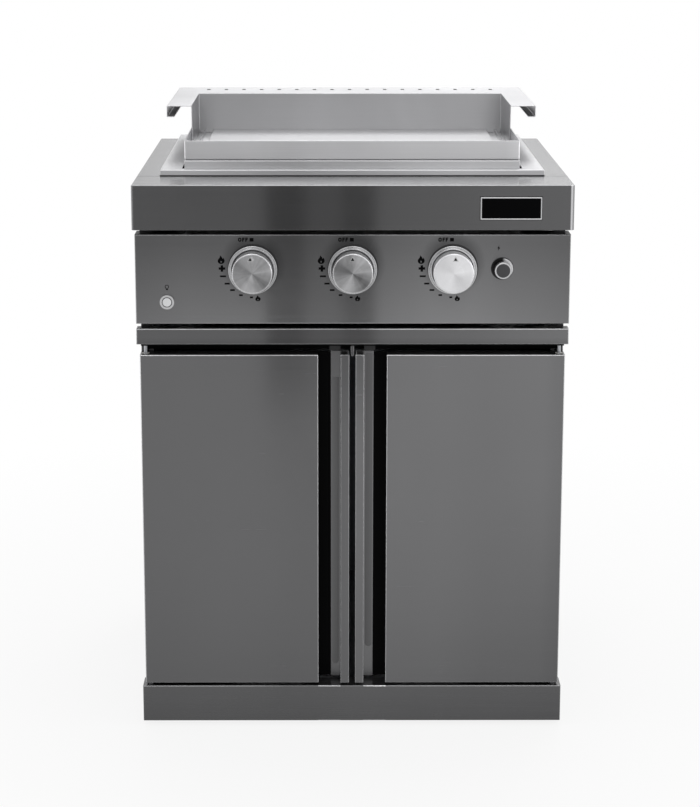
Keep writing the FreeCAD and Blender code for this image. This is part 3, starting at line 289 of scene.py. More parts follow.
def brushed(name, level, rough, painted_flat_tone=None, painted_fold_tone=None, cloud=0.03, stretch=0.95,
            wander=0.0012, climb=None, along=None, glint=None, knob_shade=None, highlight_strip=None):
    """Sheet steel with fine brush lines along its width, folded edges that round a little,
    and faces that aren't quite flat, so that what they mirror wavers.

    level, painted_flat_tone and painted_fold_tone say how light its upright faces, level faces
    and folds are; the tone of its level faces is painted light and shade, and the lighter tone
    of its folds a painted highlight. cloud, stretch and wander say how far its tone drifts, its
    gloss is drawn out and its faces bow. The rest paint light and shade into the tone from place
    to place,
    in metres: climb by height, from two (height, tone) stops, along by width, from stops too,
    glint as a painted highlight on the folds from near to far at both sides of the middle,
    knob_shade round the knobs, and highlight_strip as a painted highlight in one upright strip.
    """
    steel = Finish(name, metallic=1.0, Anisotropic=stretch)
    on_upright = steel.noise((BRUSH_ALONG, BRUSH_ALONG, BRUSH_ACROSS), detail=3.0, rough=0.6)
    on_level = steel.noise((BRUSH_ALONG, BRUSH_ACROSS, BRUSH_ALONG), detail=3.0, rough=0.6)
    grain = steel.lengthways(on_upright, on_level)
    clouds = steel.noise(CLOUD_SCALE, detail=3.0, rough=0.5, warp=0.4)
    tone = steel.total(steel.spread(clouds, -cloud, cloud, *CLOUD_RANGE),
                       steel.spread(grain, -BRUSH_TONE, BRUSH_TONE), 1.0)
    fold = steel.rounded(FOLD_RADIUS, samples=4)
    # Level faces painted in a tone of their own: painted light and shade.
    if painted_flat_tone is not None:
        tone = steel.product(tone, steel.lengthways(1.0, painted_flat_tone / level))
    # Folds painted lighter than their faces: a painted highlight.
    if painted_fold_tone is not None:
        tone = steel.product(tone, steel.painted_fold_highlight(fold, fold_highlight_gain(steel, level, painted_fold_tone, glint)))
    # Painted light and shade by height.
    if climb is not None:
        (foot, foot_tone), (head, head_tone) = climb
        rising = steel.spread(steel.measure("Z"), foot_tone, head_tone, start=foot, end=head)
        tone = steel.product(tone, rising)
    # Painted light and shade across the width.
    if along is not None:
        tone = steel.product(tone, steel.profile(steel.measure("X"), along))
    # Painted shade round the knobs.
    if knob_shade is not None:
        tone = steel.product(tone, painted_knob_shade(steel, *knob_shade))
    # A painted highlight in one upright strip.
    if highlight_strip is not None:
        tone = steel.product(tone, painted_strip_highlight(steel, *highlight_strip))
    steel.paint(grey(level), steel.math("MINIMUM", tone, BRIGHTEST / level))
    marks = steel.noise(MARK_SCALE, detail=4.0, rough=0.62, warp=1.2)
    steel.link("Roughness", steel.total(steel.spread_about(grain, rough, BRUSH_GLOSS),
                                        steel.spread(marks, *MARK_GLOSS, *MARK_RANGE)))
    bow = steel.bump(steel.noise(BOW_SCALE, detail=1.0, rough=0.4), 1.0, wander, below=fold)
    steel.bump(grain, BRUSH_STRENGTH, BRUSH_DEPTH, below=bow)
    square = steel.turned(steel.vector(*BRUSH_SQUARE), "VECTOR", "OBJECT", "WORLD")
    steel.link("Tangent", square)
    return steel


# A knob's roughness, and how far its rings take it down and up.
KNOB_ROUGH, RING_GLOSS = 0.30, (-0.05, 0.06)
RIM_RADIUS = 4.0 * MM
# How light a knob's side and its rounded rim are painted beside its face, the side as painted
# shade and the rim as a painted highlight, and between which forward parts of the rounded
# normal each of them gives way to the face.
SIDE_SHADE, SIDE_NORMAL = 0.35, (0.10, 0.35)
RIM_HIGHLIGHT, RIM_NORMAL = 2.9, (0.90, 0.98)
# How many bright arms the painted fan of light on a knob's face has.
FAN_ARMS = 2.0
# Noise scales: of the rays of painted light, by direction alone, of the patches and of the
# rings, by place.
RAY_SCALE, PATCH_SCALE, RING_SCALE = 1.7, 38, 1900.0
# How much the rings change the tone, and how they stand out.
RING_TONE, RING_STRENGTH = 0.05, 0.06
# How deep the patches are beside the rays, and between which of their values they count.
PATCH_SHARE, PATCH_RANGE = 0.6, (0.32, 0.68)
# How far the finest relief of knobs and cast pieces stands out.
RELIEF_DEPTH = 0.0003


def turned_steel(side, level, streaks, fan_depth, ray_depth):
    """A knob's lathe-turned face: fine rings about its axis, soft rays of painted light over
    them, its side painted darker and its rim painted bright.
    """
    steel = Finish("turned_steel_" + side, metallic=1.0, Anisotropic=0.75,
                   Anisotropic_Rotation=0.25)
    spot = steel.axes(steel.from_point(middle_of("knob_" + side)))
    outward = steel.vector(x=spot["X"], z=spot["Z"])
    angle = steel.math("ARCTAN2", spot["Z"], spot["X"])
    fan = steel.math("SINE", steel.math("MULTIPLY_ADD", angle, FAN_ARMS, streaks))
    direction = steel.vector_math("NORMALIZE", outward)[0]
    rays = steel.noise(RAY_SCALE, detail=2.0, rough=0.5, vector=direction)
    patches = steel.noise(PATCH_SCALE, detail=2.0, rough=0.5, warp=0.6)
    turns = steel.product(steel.length(outward), RING_SCALE)
    rings = steel.noise(1, detail=2.0, rough=0.6, vector=steel.vector(x=turns))
    patch_depth = PATCH_SHARE * ray_depth
    # The fan and the rays are painted light.
    tone = steel.total(steel.product(fan, fan_depth), steel.spread(rays, -ray_depth, ray_depth),
                       steel.spread(rings, -RING_TONE, RING_TONE),
                       steel.spread(patches, -patch_depth, patch_depth, *PATCH_RANGE), 1.0)
    rim = steel.rounded(RIM_RADIUS, samples=6)
    facing = steel.own_normal(rim)["Y"]
    # The side painted darker and the rim lighter: painted shade and a painted highlight.
    tone = steel.product(tone, steel.spread(facing, SIDE_SHADE, 1.0, *SIDE_NORMAL),
                         steel.spread(facing, RIM_HIGHLIGHT, 1.0, *RIM_NORMAL))
    steel.paint(grey(level), steel.math("MINIMUM", tone, BRIGHTEST / level))
    steel.link("Roughness", steel.spread_about(rings, KNOB_ROUGH, RING_GLOSS))
    steel.bump(rings, RING_STRENGTH, RELIEF_DEPTH, below=rim)
    spin = steel.add("Tangent", {"direction_type": "RADIAL", "axis": "Y"})
    steel.link("Tangent", spin.outputs[0])
    return steel


# The broad and the fine mottling of a cast piece, beside its own noise scale, how much the fine
# one changes the tone, and how far the broad one takes the roughness down and up.
BROAD, FINE = 1 / 6, 9
FINE_TONE = 0.03
BROAD_GLOSS = (-0.05, 0.07)


def cast_finish(name, colour, rough, metallic=0.0, speckle=0.08, size=60.0, relief=0.08,
                **sockets):
    """Plastic, plating or cast metal: mottled a little in colour, gloss and surface."""
    made = Finish(name, metallic=metallic, **sockets)
    broad = made.noise(size * BROAD, detail=3.0, rough=0.5)
    fine = made.noise(size * FINE, detail=3.0, rough=0.6)
    made.paint((*colour, 1.0), made.total(made.spread(broad, -speckle, speckle),
                                          made.spread(fine, -FINE_TONE, FINE_TONE), 1.0))
    made.link("Roughness", made.spread_about(broad, rough, BROAD_GLOSS))
    made.bump(fine, relief, RELIEF_DEPTH)
    return made


# The dark steels below are one steel, and bright, guard and pan are one other: their levels
# differ piece by piece as painted light and shade, and so do their climbs, alongs, glints, knob
# shade and the counter's highlight strip.
COUNTER_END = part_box("countertop")[1].x
dark = brushed("dark_brushed_steel", level=0.15, rough=0.22, painted_fold_tone=FOLD_HIGHLIGHT)
top = brushed("dark_brushed_top", level=0.115, rough=0.20, painted_flat_tone=0.30, painted_fold_tone=0.25,
              stretch=0.98, wander=0.0005,
              highlight_strip=(COUNTER_END - 5.8 * MM, COUNTER_END - 2.8 * MM, 5.0))
panel = brushed("dark_brushed_panel", level=0.20, rough=0.20, painted_fold_tone=FOLD_HIGHLIGHT, cloud=0.07,
                stretch=0.98, climb=((0.690, 1.10), (0.815, 0.74)),
                along=((-0.346, 0.86), (-0.26, 1.0), (-0.10, 1.05), (0.06, 1.0), (0.13, 1.10),
                       (0.19, 1.08), (0.25, 0.93), (0.346, 0.80)),
                knob_shade=(0.62, 0.036, 0.053))
tray = brushed("dark_brushed_tray", level=0.15, rough=0.20, painted_fold_tone=FOLD_HIGHLIGHT, cloud=0.05,
               stretch=0.98, climb=((0.653, 0.84), (0.662, 1.0)),
               along=((-0.346, 0.95), (0.0, 0.96), (0.20, 1.04), (0.346, 1.16)))
left_door = brushed("dark_brushed_left_door", level=0.172, rough=0.22, painted_fold_tone=DOOR_FOLD_HIGHLIGHT,
                    cloud=0.05)
right_door = brushed("dark_brushed_right_door", level=0.190, rough=0.22, painted_fold_tone=DOOR_FOLD_HIGHLIGHT,
                     cloud=0.05, climb=((0.08, 0.94), (0.40, 1.03)),
                     along=((0.05, 1.04), (0.14, 1.04), (0.22, 0.98), (0.31, 0.98),
                            (0.342, 0.88)))
base = brushed("dark_brushed_plinth", level=0.155, rough=0.24, painted_fold_tone=1.3, cloud=0.05,
               glint=(0.019, 0.056))
bright = brushed("bright_brushed_steel", level=0.62, rough=0.32, painted_flat_tone=0.52,
                 painted_fold_tone=0.90, cloud=0.10, stretch=0.8, wander=0.003)
guard = brushed("bright_brushed_guard", level=0.455, rough=0.32, painted_flat_tone=0.50,
                painted_fold_tone=0.88, cloud=0.10, stretch=0.8)
pan = brushed("bright_brushed_pan", level=0.62, rough=0.32, painted_flat_tone=0.52, painted_fold_tone=0.92,
              cloud=0.08, stretch=0.8, wander=0.003,
              along=((-0.272, 0.95), (-0.204, 1.08), (-0.136, 1.26), (-0.068, 1.32),
                     (0.0, 1.22), (0.068, 1.10), (0.136, 1.0), (0.25, 0.99), (0.272, 1.12)))
plate = brushed("ground_plate_steel", level=0.55, rough=0.40, stretch=0.4)

# Near black with little gloss: the liners and rails in it are black paint and also stand for the
# deep shade in the recesses behind the doors; the hood's slot shades in it are painted shade.
black = cast_finish("black_sheet", (0.003, 0.003, 0.0032), rough=0.6, speckle=0.2, size=40,
                    Specular_IOR_Level=0.04)
bezel = cast_finish("bezel_chrome", (0.56, 0.56, 0.57), rough=0.24, metallic=1.0,
                    speckle=0.06, size=40, relief=0.0)
zinc = cast_finish("zinc_plate", (0.42, 0.43, 0.45), rough=0.34, metallic=1.0, speckle=0.10,
                   size=90)
galvanised = cast_finish("galvanised_sheet", (0.40, 0.41, 0.43), rough=0.42, metallic=1.0,
                         speckle=0.14, size=110)
brass = cast_finish("brass_cast", (0.62, 0.44, 0.19), rough=0.33, metallic=1.0, speckle=0.10,
                    size=80)
housing = cast_finish("housing_plate", (0.60, 0.60, 0.61), rough=0.24, metallic=1.0,
                      speckle=0.06, size=40, relief=0.0)
insert = cast_finish("grip_insert", (0.165, 0.165, 0.168), rough=0.42, metallic=1.0,
                     speckle=0.10, size=50)
rubber = cast_finish("black_moulded", (0.012, 0.012, 0.013), rough=0.48, speckle=0.15)
cap_grey = cast_finish("grey_cap", (0.060, 0.060, 0.063), rough=0.40, speckle=0.10,
                       Specular_IOR_Level=0.3)
lens = cast_finish("white_lens", (0.80, 0.81, 0.82), rough=0.22, speckle=0.03, relief=0.03)
nylon = cast_finish("nylon_natural", (0.74, 0.73, 0.69), rough=0.45, speckle=0.05)
ceramic = cast_finish("white_ceramic", (0.78, 0.76, 0.72), rough=0.28, speckle=0.05,
                      relief=0.04)
enamel = cast_finish("badge_enamel", (0.0012, 0.0012, 0.0015), rough=0.30, speckle=0.10,
                     relief=0.02, Specular_IOR_Level=0.03)
ink = cast_finish("printed_ink", (0.003, 0.003, 0.0032), rough=0.6, speckle=0.1,
                  Specular_IOR_Level=0.03)
pale_ink = cast_finish("pale_ink", (0.50, 0.50, 0.50), rough=0.5, speckle=0.05)

# The ignitor's flange is painted black, as painted shade and dark reflection, but for one sector
# that keeps the plating's light: which way the sector faces, and how far to each side it
# reaches before it fades to black, as angles at the ignitor's axis in radians.
SECTOR_TURN = 0.42
SECTOR_REACH = (0.85, 1.15)
FLANGE_SHADE = (0.02, 0.02, 0.02, 1.0)
# Whatever lies further to the left of that axis than this is no part of the flange.
FLANGE_LEFT = -0.1


def paint_flange_shade(plating):
    """Paints the ignitor's flange black, as painted shade and dark reflection, but for one
    sector left plated. The light switch's ring, which is on the same node but far to the left,
    stays plated."""
    spot = plating.axes(plating.from_point(middle_of("ignitor_button")))
    turn = plating.math("ARCTAN2", spot["Z"], spot["X"])
    aside = plating.math("ABSOLUTE", plating.math("SUBTRACT", turn, SECTOR_TURN))
    on_flange = plating.math("GREATER_THAN", spot["X"], FLANGE_LEFT)
    # Black outside the sector: painted shade and dark reflection.
    painted_dark = plating.product(plating.spread(aside, 0.0, 1.0, *SECTOR_REACH), on_flange)
    plated = plating.shader.inputs["Base Color"].links[0].from_socket
    plating.link("Base Color", plating.blend(painted_dark, plated, FLANGE_SHADE))


paint_flange_shade(housing)

# For each knob: how light its steel is, which differs from knob to knob as painted light, where
# its painted fan of light lies, and how deep the fan and the rays are.
KNOB_FACE = {
    "left": (0.42, -0.9, 0.16, 0.30),
    "middle": (0.43, -0.7, 0.34, 0.30),
    "right": (0.80, 1.3, 0.02, 0.05),
}
SLOT_FINISH = {
    "dark_steel": dark,
    "dark_top": top,
    "black_steel": black,
    "stainless": bright,
    "plate_steel": plate,
    "bezel_steel": bezel,
    "galvanised": galvanised,
    "brass": brass,
    "zinc": zinc,
    "black_plastic": rubber,
    "grey_plastic": bezel,
    "white_plastic": lens,
    "nylon": nylon,
    "ceramic": ceramic,
    "badge_black": enamel,
}
OWN_FINISH = {
    "control_panel": panel,
    "drip_tray_front": tray,
    "door_left_skin": left_door,
    "door_left_grip": left_door,
    "door_right_skin": right_door,
    "door_right_grip": right_door,
    "plinth": base,
    "griddle_pan": pan,
    "splash_guard": guard,
    "button_housings": housing,
}
for side in KNOBS:
    OWN_FINISH["knob_" + side] = turned_steel(side, *KNOB_FACE[side])
for name, node in NODES.items():
    node_slot = node.material_slots[0]
    finish = OWN_FINISH.get(name) or SLOT_FINISH[node_slot.material.name]
    node_slot.material = finish.material


# Rounded folds

EDGE_ANGLE = math.radians(35)
FLAT_ANGLE = math.radians(0.5)
WELD_DISTANCE = 1e-6
BEVEL_STEPS = 2
# Edge radii in mm, and the nodes that have them.
SOFT_EDGES = {
    0.5: ("countertop", "control_panel", "drip_tray_front", "plinth", "door_left_skin",
          "door_right_skin", "door_left_grip", "door_right_grip", "griddle_pan",
          "splash_guard", "cabinet_side_left", "cabinet_side_right"),
    0.8: ("griddle_frame",),
    0.4: ("badge_rim", "light_switch_button"),
    0.9: ("knob_bezels", "ignitor_button"),
}


def soften(node, width):
    """Rounds a CAD node's edges: one clean face for each flat, then a bevel, then normals
    weighted by the flats."""
    weld = node.modifiers.new("weld", "WELD")
    weld.merge_threshold = WELD_DISTANCE
    flat = node.modifiers.new("flats", "DECIMATE")
    flat.decimate_type = "DISSOLVE"
    flat.angle_limit = FLAT_ANGLE
    bevel = node.modifiers.new("bevel", "BEVEL")
    bevel.width = width
    bevel.segments = BEVEL_STEPS
    bevel.limit_method = "ANGLE"
    bevel.angle_limit = EDGE_ANGLE
    bevel.use_clamp_overlap = True
    normals = node.modifiers.new("normals", "WEIGHTED_NORMAL")
    normals.keep_sharp = True


for radius, names in SOFT_EDGES.items():
    for name in names:
        soften(NODES[name], radius * MM)


# The scene's own pieces

TURNED_STEPS = 64
POCKET_STEPS = 16
JOINED_WITHIN = 1e-7


def outlines_mesh(name, outlines, thickness):
    """A thin mesh from closed outlines in mm; an outline inside another is a hole."""
    curve = bpy.data.curves.new(name + "_outline", "CURVE")
    curve.dimensions = "2D"
    curve.fill_mode = "BOTH"
    curve.extrude = thickness / 2
    for points in outlines:
        spline = curve.splines.new("POLY")
        spline.points.add(len(points) - 1)
        for point, (x, z) in zip(spline.points, points):
            point.co = (x * MM, z * MM, 0, 1)
        spline.use_cyclic_u = True
    holder = bpy.data.objects.new(name + "_holder", curve)
    mesh = bpy.data.meshes.new_from_object(holder)
    bpy.data.objects.remove(holder)
    bpy.data.curves.remove(curve)
    return mesh


def add_piece(name, mesh, body, finish):
    piece = bpy.data.objects.new(name, mesh)
    bpy.context.scene.collection.objects.link(piece)
    mesh.materials.append(finish.material)
    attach(piece, body)


def add_flat(name, outlines, thickness, origin, body, finish,
             upright=True):
    """A thin flat shape whose outlines are drawn from the origin: it faces -Y if upright, else
    up, and the origin is halfway through its thickness."""
    mesh = outlines_mesh(name, outlines, thickness)
    whole = bmesh.new()
    whole.from_mesh(mesh)
    place = Matrix.Translation(origin)
    if upright:
        place = place @ Matrix.Rotation(math.radians(90), 4, "X")
    bmesh.ops.transform(whole, matrix=place, verts=whole.verts)
    bmesh.ops.remove_doubles(whole, verts=whole.verts, dist=JOINED_WITHIN)
    whole.to_mesh(mesh)
    whole.free()
    add_piece(name, mesh, body, finish)


def add_on_face(name, outlines, thickness, spot, body="cabinet", finish=ink):
    """A thin upright shape that stands out from a face, at a spot of the face."""
    x, y, z = spot
    add_flat(name, outlines, thickness, (x, y - thickness / 2, z), body, finish)


def add_turned(name, profile_mm, centre, body, finish):
    """A shape turned about an axis along Y, from (radius, depth) points from its axis out."""
    shape = bmesh.new()
    rings = []
    for radius, depth in profile_mm:
        count = TURNED_STEPS if radius else 1
        turns = [2 * math.pi * n / count for n in range(count)]
        rings.append([shape.verts.new(Vector(centre) + Vector(
            (radius * MM * math.cos(a), depth * MM, radius * MM * math.sin(a)))) for a in turns])
    for inner, outer in zip(rings, rings[1:]):
        for n in range(TURNED_STEPS):
            m = (n + 1) % TURNED_STEPS
            loop = [inner[n % len(inner)], outer[n % len(outer)], outer[m % len(outer)],
                    inner[m % len(inner)]]
            shape.faces.new(dict.fromkeys(loop))
    bmesh.ops.recalc_face_normals(shape, faces=shape.faces)
    for face in shape.faces:
        face.smooth = True
    mesh = bpy.data.meshes.new(name)
    shape.to_mesh(mesh)
    shape.free()
    add_piece(name, mesh, body, finish)


def rectangle(x0, x1, z0, z1):
    return [(x0, z0), (x1, z0), (x1, z1), (x0, z1)]


def circle(radius, x=0.0, z=0.0):
    turns = [2 * math.pi * n / TURNED_STEPS for n in range(TURNED_STEPS)]
    return [(x + radius * math.cos(a), z + radius * math.sin(a)) for a in turns]


def ring(outer, inner):
    return [circle(outer), circle(inner)]


def pocket(x0, x1, z0, z1):
    """An upright outline with a round lower end."""
    radius, middle = (x1 - x0) / 2, (x0 + x1) / 2
    turns = [math.pi + math.pi * n / POCKET_STEPS for n in range(POCKET_STEPS + 1)]
    foot = [(middle + radius * math.cos(a), z0 + radius + radius * math.sin(a)) for a in turns]
    return foot + [(x1, z1), (x0, z1)]


def plus(x, z, size, arm):
    s, a = size / 2, arm / 2
    return [(x - a, z - s), (x + a, z - s), (x + a, z - a), (x + s, z - a), (x + s, z + a),
            (x + a, z + a), (x + a, z + s), (x - a, z + s), (x - a, z + a), (x - s, z + a),
            (x - s, z - a), (x - a, z - a)]


# Printed marks, in mm. Those of a dial and of a knob are from the knob's axis, x to the right
# and z up.

INK = 0.1 * MM
STROKE = 1.75
O_CORNER, O_HOLE_CORNER = 1.6, 0.8
F_MIDDLE_SHORTER = 0.5
LETTER_FOOT, LETTER_HEAD = 45.3, 51.9
LETTER_O = (-23.0, -17.6)
LETTERS_F = ((-16.5, -12.4), (-11.5, -7.4))
OFF_SQUARE = (-4.6, 1.6, 45.7, 51.4)
PLUS_SIGN = (-49.0, 2.1, 10.4, 3.8)
HIGH_FLAME = (-56.4, -44.0, 9.4, 23.4)
LOW_FLAME = (3.2, 12.6, -51.0, -41.2)
# Each dash: its ends, and the height of its middle.
DASHES = ((-52.1, -42.5, -10.5), (-45.0, -36.8, -22.4), (-36.3, -28.8, -32.9),
          (-22.1, -16.3, -41.1), (-4.7, 0.0, -44.7))
DASH_HEIGHT = 2.8
POINTER = [[(-2.7, 20.7), (2.7, 20.7), (0.0, 25.8)]]
POINTER_LINE = [[(-4.5, 19.6), (4.5, 19.6), (0.0, 28.0)],
                [(-3.3, 20.3), (3.3, 20.3), (0.0, 26.6)]]
POINTER_ASIDE = {"left": -2.8, "middle": -0.6, "right": 2.6}
# A flame in a unit box, from its foot round to the left, the tip and back, and its bare heart.
FLAME = ((0.50, 0.00), (0.30, 0.03), (0.14, 0.14), (0.06, 0.30), (0.08, 0.46), (0.18, 0.60),
         (0.30, 0.72), (0.36, 0.86), (0.35, 1.00), (0.50, 0.90), (0.62, 0.76), (0.68, 0.60),
         (0.76, 0.66), (0.78, 0.74), (0.88, 0.60), (0.95, 0.44), (0.94, 0.28), (0.86, 0.13),
         (0.70, 0.03))
FLAME_HEART = ((0.50, 0.15), (0.43, 0.18), (0.41, 0.25), (0.44, 0.32), (0.48, 0.39),
               (0.53, 0.33), (0.59, 0.26), (0.58, 0.19))
BULB = [(-1.6, -4.2), (1.6, -4.2), (1.6, -2.4), (2.3, -1.2), (3.1, 0.0), (3.4, 1.3), (2.9, 2.7),
        (1.8, 3.8), (0.0, 4.3), (-1.8, 3.8), (-2.9, 2.7), (-3.4, 1.3), (-3.1, 0.0), (-2.3, -1.2),
        (-1.6, -2.4)]
BULB_GLASS = [(-0.9, -1.8), (0.9, -1.8), (1.5, -0.7), (2.1, 0.4), (2.3, 1.3), (1.9, 2.3),
              (1.1, 3.0), (0.0, 3.3), (-1.1, 3.0), (-1.9, 2.3), (-2.3, 1.3), (-2.1, 0.4),
              (-1.5, -0.7)]
SPARK = [(0.9, 4.6), (-2.5, -0.6), (-0.4, -0.4), (-1.2, -4.6), (2.5, 1.0), (0.4, 0.7)]
BULB_ABOVE = 23.5
SPARK_ABOVE, SPARK_ASIDE = 33, -6


def flame(x0, x1, z0, z1):
    """A flame with a bare heart, in the box."""
    return [[(x0 + (x1 - x0) * a, z0 + (z1 - z0) * b) for a, b in outline]
            for outline in (FLAME, FLAME_HEART)]


def cut_corners(x0, x1, z0, z1, cut):
    """A rectangle with its corners cut off."""
    return [(x0 + cut, z0), (x1 - cut, z0), (x1, z0 + cut), (x1, z1 - cut), (x1 - cut, z1),
            (x0 + cut, z1), (x0, z1 - cut), (x0, z0 + cut)]


def letter_o(x0, x1, z0, z1):
    """A square-shouldered O: its outside and its hole."""
    hole = (x0 + STROKE, x1 - STROKE, z0 + STROKE, z1 - STROKE)
    return [cut_corners(x0, x1, z0, z1, O_CORNER), cut_corners(*hole, O_HOLE_CORNER)]


def letter_f(x0, x1, z0, z1):
    middle, stem, bar = (z0 + z1) / 2, x0 + STROKE, x1 - F_MIDDLE_SHORTER
    return [(x0, z0), (stem, z0), (stem, middle - STROKE / 2), (bar, middle - STROKE / 2),
            (bar, middle + STROKE / 2), (stem, middle + STROKE / 2), (stem, z1 - STROKE),
            (x1, z1 - STROKE), (x1, z1), (x0, z1)]


def dial_marks():
    """OFF and a square, a plus sign, a large and a small flame, and dashes that shorten."""
    marks = [rectangle(*OFF_SQUARE), plus(*PLUS_SIGN), *flame(*HIGH_FLAME), *flame(*LOW_FLAME)]
    for x0, x1, z in DASHES:
        marks.append(rectangle(x0, x1, z - DASH_HEIGHT / 2, z + DASH_HEIGHT / 2))
    marks += letter_o(*LETTER_O, LETTER_FOOT, LETTER_HEAD)
    marks += [letter_f(x0, x1, LETTER_FOOT, LETTER_HEAD) for x0, x1 in LETTERS_F]
    return marks


PANEL_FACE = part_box("control_panel")[0].y
light, spark = front_of("light_switch_button"), front_of("ignitor_button")
for side in KNOBS:
    face = front_of("knob_" + side)
    tip = (face.x + POINTER_ASIDE[side] * MM, face.y, face.z)
    add_on_face("dial_marks_" + side, dial_marks(), INK, (face.x, PANEL_FACE, face.z))
    add_on_face("knob_pointer_" + side, POINTER, INK, tip, "knob_" + side)
    add_on_face("knob_pointer_line_" + side, POINTER_LINE, INK, tip, "knob_" + side, pale_ink)
add_on_face("light_icon", [BULB, BULB_GLASS], INK,
            (light.x, PANEL_FACE, light.z + BULB_ABOVE * MM))
add_on_face("spark_icon", [SPARK], INK,
            (spark.x + SPARK_ASIDE * MM, PANEL_FACE, spark.z + SPARK_ABOVE * MM))


# Painted shadows, steps, insets and caps, in mm. A black ring or band of painted shadow lies
# flat on the panel or round a joint, where shade falls.

SHADOW_SHEET = 0.6 * MM
# Round each bezel a black ring of painted shadow shows most above it, since its outer circle
# leans up and a little to the right.
BEZEL_SHADOW_RADIUS, BEZEL_SHADOW_LEAN, BEZEL_SHADOW_HOLE = 40.2, (0.5, 1.5), 36.6
BEZEL_STEP, BEZEL_STEP_RING = 5.0 * MM, (37.3, 36.3)
IGNITOR_SHADOW_RING = (18.0, 14.0)
# The grey disc on the ignitor's button, domed a little: radius and depth, from its middle out.
CAP_DISC = ((0, -1.0), (6.5, -0.95), (9.6, -0.75), (10.7, -0.45), (11.2, 0.2))
# A dark ring of painted shade for the groove round the light switch lies on its ring, this far
# behind the button's face.
RING_BEHIND, GROOVE_SHADE_RING = 1.0 * MM, (8.1, 7.1)
BADGE_MARGIN = 1.0
# The black bands of painted shadow round the griddle's frame and under the pan: how wide they
# are and how far above what they lie on, then how far each reaches past the outline, how high
# the frame's comes above the counter, and the gap that the pan's leaves below the pan.
SHADOW_BAND_WIDTH, SEAT_GAP = 3.0, 0.05
FRAME_SHADOW_REACH, FRAME_SHADOW_TOP = 0.5, 1.9
PAN_SHADOW_REACH, PAN_SHADOW_GAP = -0.8, 0.1

for side in KNOBS:
    axis = front_of("knob_" + side)
    on_panel = (axis.x, PANEL_FACE, axis.z)
    on_step = (axis.x, PANEL_FACE - BEZEL_STEP, axis.z)
    # A black ring of painted shadow round the bezel.
    shadow_ring = [circle(BEZEL_SHADOW_RADIUS, *BEZEL_SHADOW_LEAN), circle(BEZEL_SHADOW_HOLE)]
    add_on_face("bezel_shadow_ring_" + side, shadow_ring, SHADOW_SHEET, on_panel, finish=rubber)
    # A dark ring on each bezel's step: painted shade in the groove between its ridges.
    add_on_face("bezel_step_" + side, ring(*BEZEL_STEP_RING), INK, on_step, finish=insert)
# A black ring of painted shadow round the ignitor's flange.
add_on_face("ignitor_shadow_ring", ring(*IGNITOR_SHADOW_RING), SHADOW_SHEET, (spark.x, PANEL_FACE, spark.z),
            finish=rubber)
add_turned("ignitor_cap_disc", CAP_DISC, spark, "ignitor_button", cap_grey)
# Painted shade for the groove round the switch.
add_on_face("light_switch_shade_ring", ring(*GROOVE_SHADE_RING), INK,
            (light.x, light.y + RING_BEHIND, light.z))

low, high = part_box("badge_rim")
half_width = (high.x - low.x) / MM / 2 + BADGE_MARGIN
half_height = (high.z - low.z) / MM / 2 + BADGE_MARGIN
# A black outline round the badge's rim: painted shadow.
add_on_face("badge_shadow_outline", [rectangle(-half_width, half_width, -half_height, half_height)],
            SHADOW_SHEET, ((low.x + high.x) / 2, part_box("countertop")[0].y, (low.z + high.z) / 2),
            finish=rubber)


def add_shadow_ring_round(name, node, reach, z0, z1):
    """A black rectangular band of painted shadow round a node, reaching this far past its
    outline.
    """
    low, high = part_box(node)
    x, y0, y1 = high.x / MM + reach, low.y / MM - reach, high.y / MM + reach
    inner_x, inner_y0, inner_y1 = x - SHADOW_BAND_WIDTH, y0 + SHADOW_BAND_WIDTH, y1 - SHADOW_BAND_WIDTH
    outlines = [rectangle(-x, x, y0, y1), rectangle(-inner_x, inner_x, inner_y0, inner_y1)]
    add_flat(name, outlines, (z1 - z0) * MM, (0, 0, (z0 + z1) / 2 * MM), "cabinet", rubber,
             upright=False)


counter_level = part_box("griddle_frame")[0].z / MM
pan_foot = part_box("griddle_pan")[0].z / MM
box_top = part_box("burner_box")[1].z / MM
# Painted shadow under the frame's edge and under the pan.
add_shadow_ring_round("frame_shadow_ring", "griddle_frame", FRAME_SHADOW_REACH, counter_level + SEAT_GAP,
               counter_level + FRAME_SHADOW_TOP)
add_shadow_ring_round("pan_seat_shadow_ring", "griddle_pan", PAN_SHADOW_REACH, box_top + SEAT_GAP,
               pan_foot - PAN_SHADOW_GAP)

# The pale insets in the grips: how far from the middle, and from what height to what.
GRIP_SHEET = 1.2 * MM
INSET_FROM, INSET_TO = 21.5, 33.0
INSET_HEIGHTS = {"left": (98, 590), "right": (128, 630)}
inset_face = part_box("door_left_grip")[1].y - GRIP_SHEET
for side, sign in (("left", -1), ("right", 1)):
    across = sorted((sign * INSET_FROM, sign * INSET_TO))
    add_on_face("grip_insert_" + side, [pocket(*across, *INSET_HEIGHTS[side])], 2 * INK,
                (0, inset_face, 0), "door_" + side, insert)

# The hood's slots show dark from painted shade: a black strip lies in each, where only shade
# would be, with its middle SHADE_DEPTH below the hood's face. The slots have the sizes that the
# part's source gives them, and begin SLOT_INSET before the hood's rear.
SLOTS, SLOT_PITCH, SLOT_WIDTH, SLOT_LENGTH, SLOT_INSET = 17, 32.0, 6.0, 16.0, 46.0
SHADE_SHEET, SHADE_DEPTH = 0.8, 0.45
SIDE_GAP, END_GAP = 0.05, 0.1
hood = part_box("splash_guard")[1]
slot_start = hood.y / MM - SLOT_INSET
half_shade = SLOT_WIDTH / 2 - SIDE_GAP
shades = []
for n in range(SLOTS):
    x = SLOT_PITCH * (n - (SLOTS - 1) / 2)
    shades.append(rectangle(x - half_shade, x + half_shade, slot_start + END_GAP,
                            slot_start + SLOT_LENGTH - END_GAP))
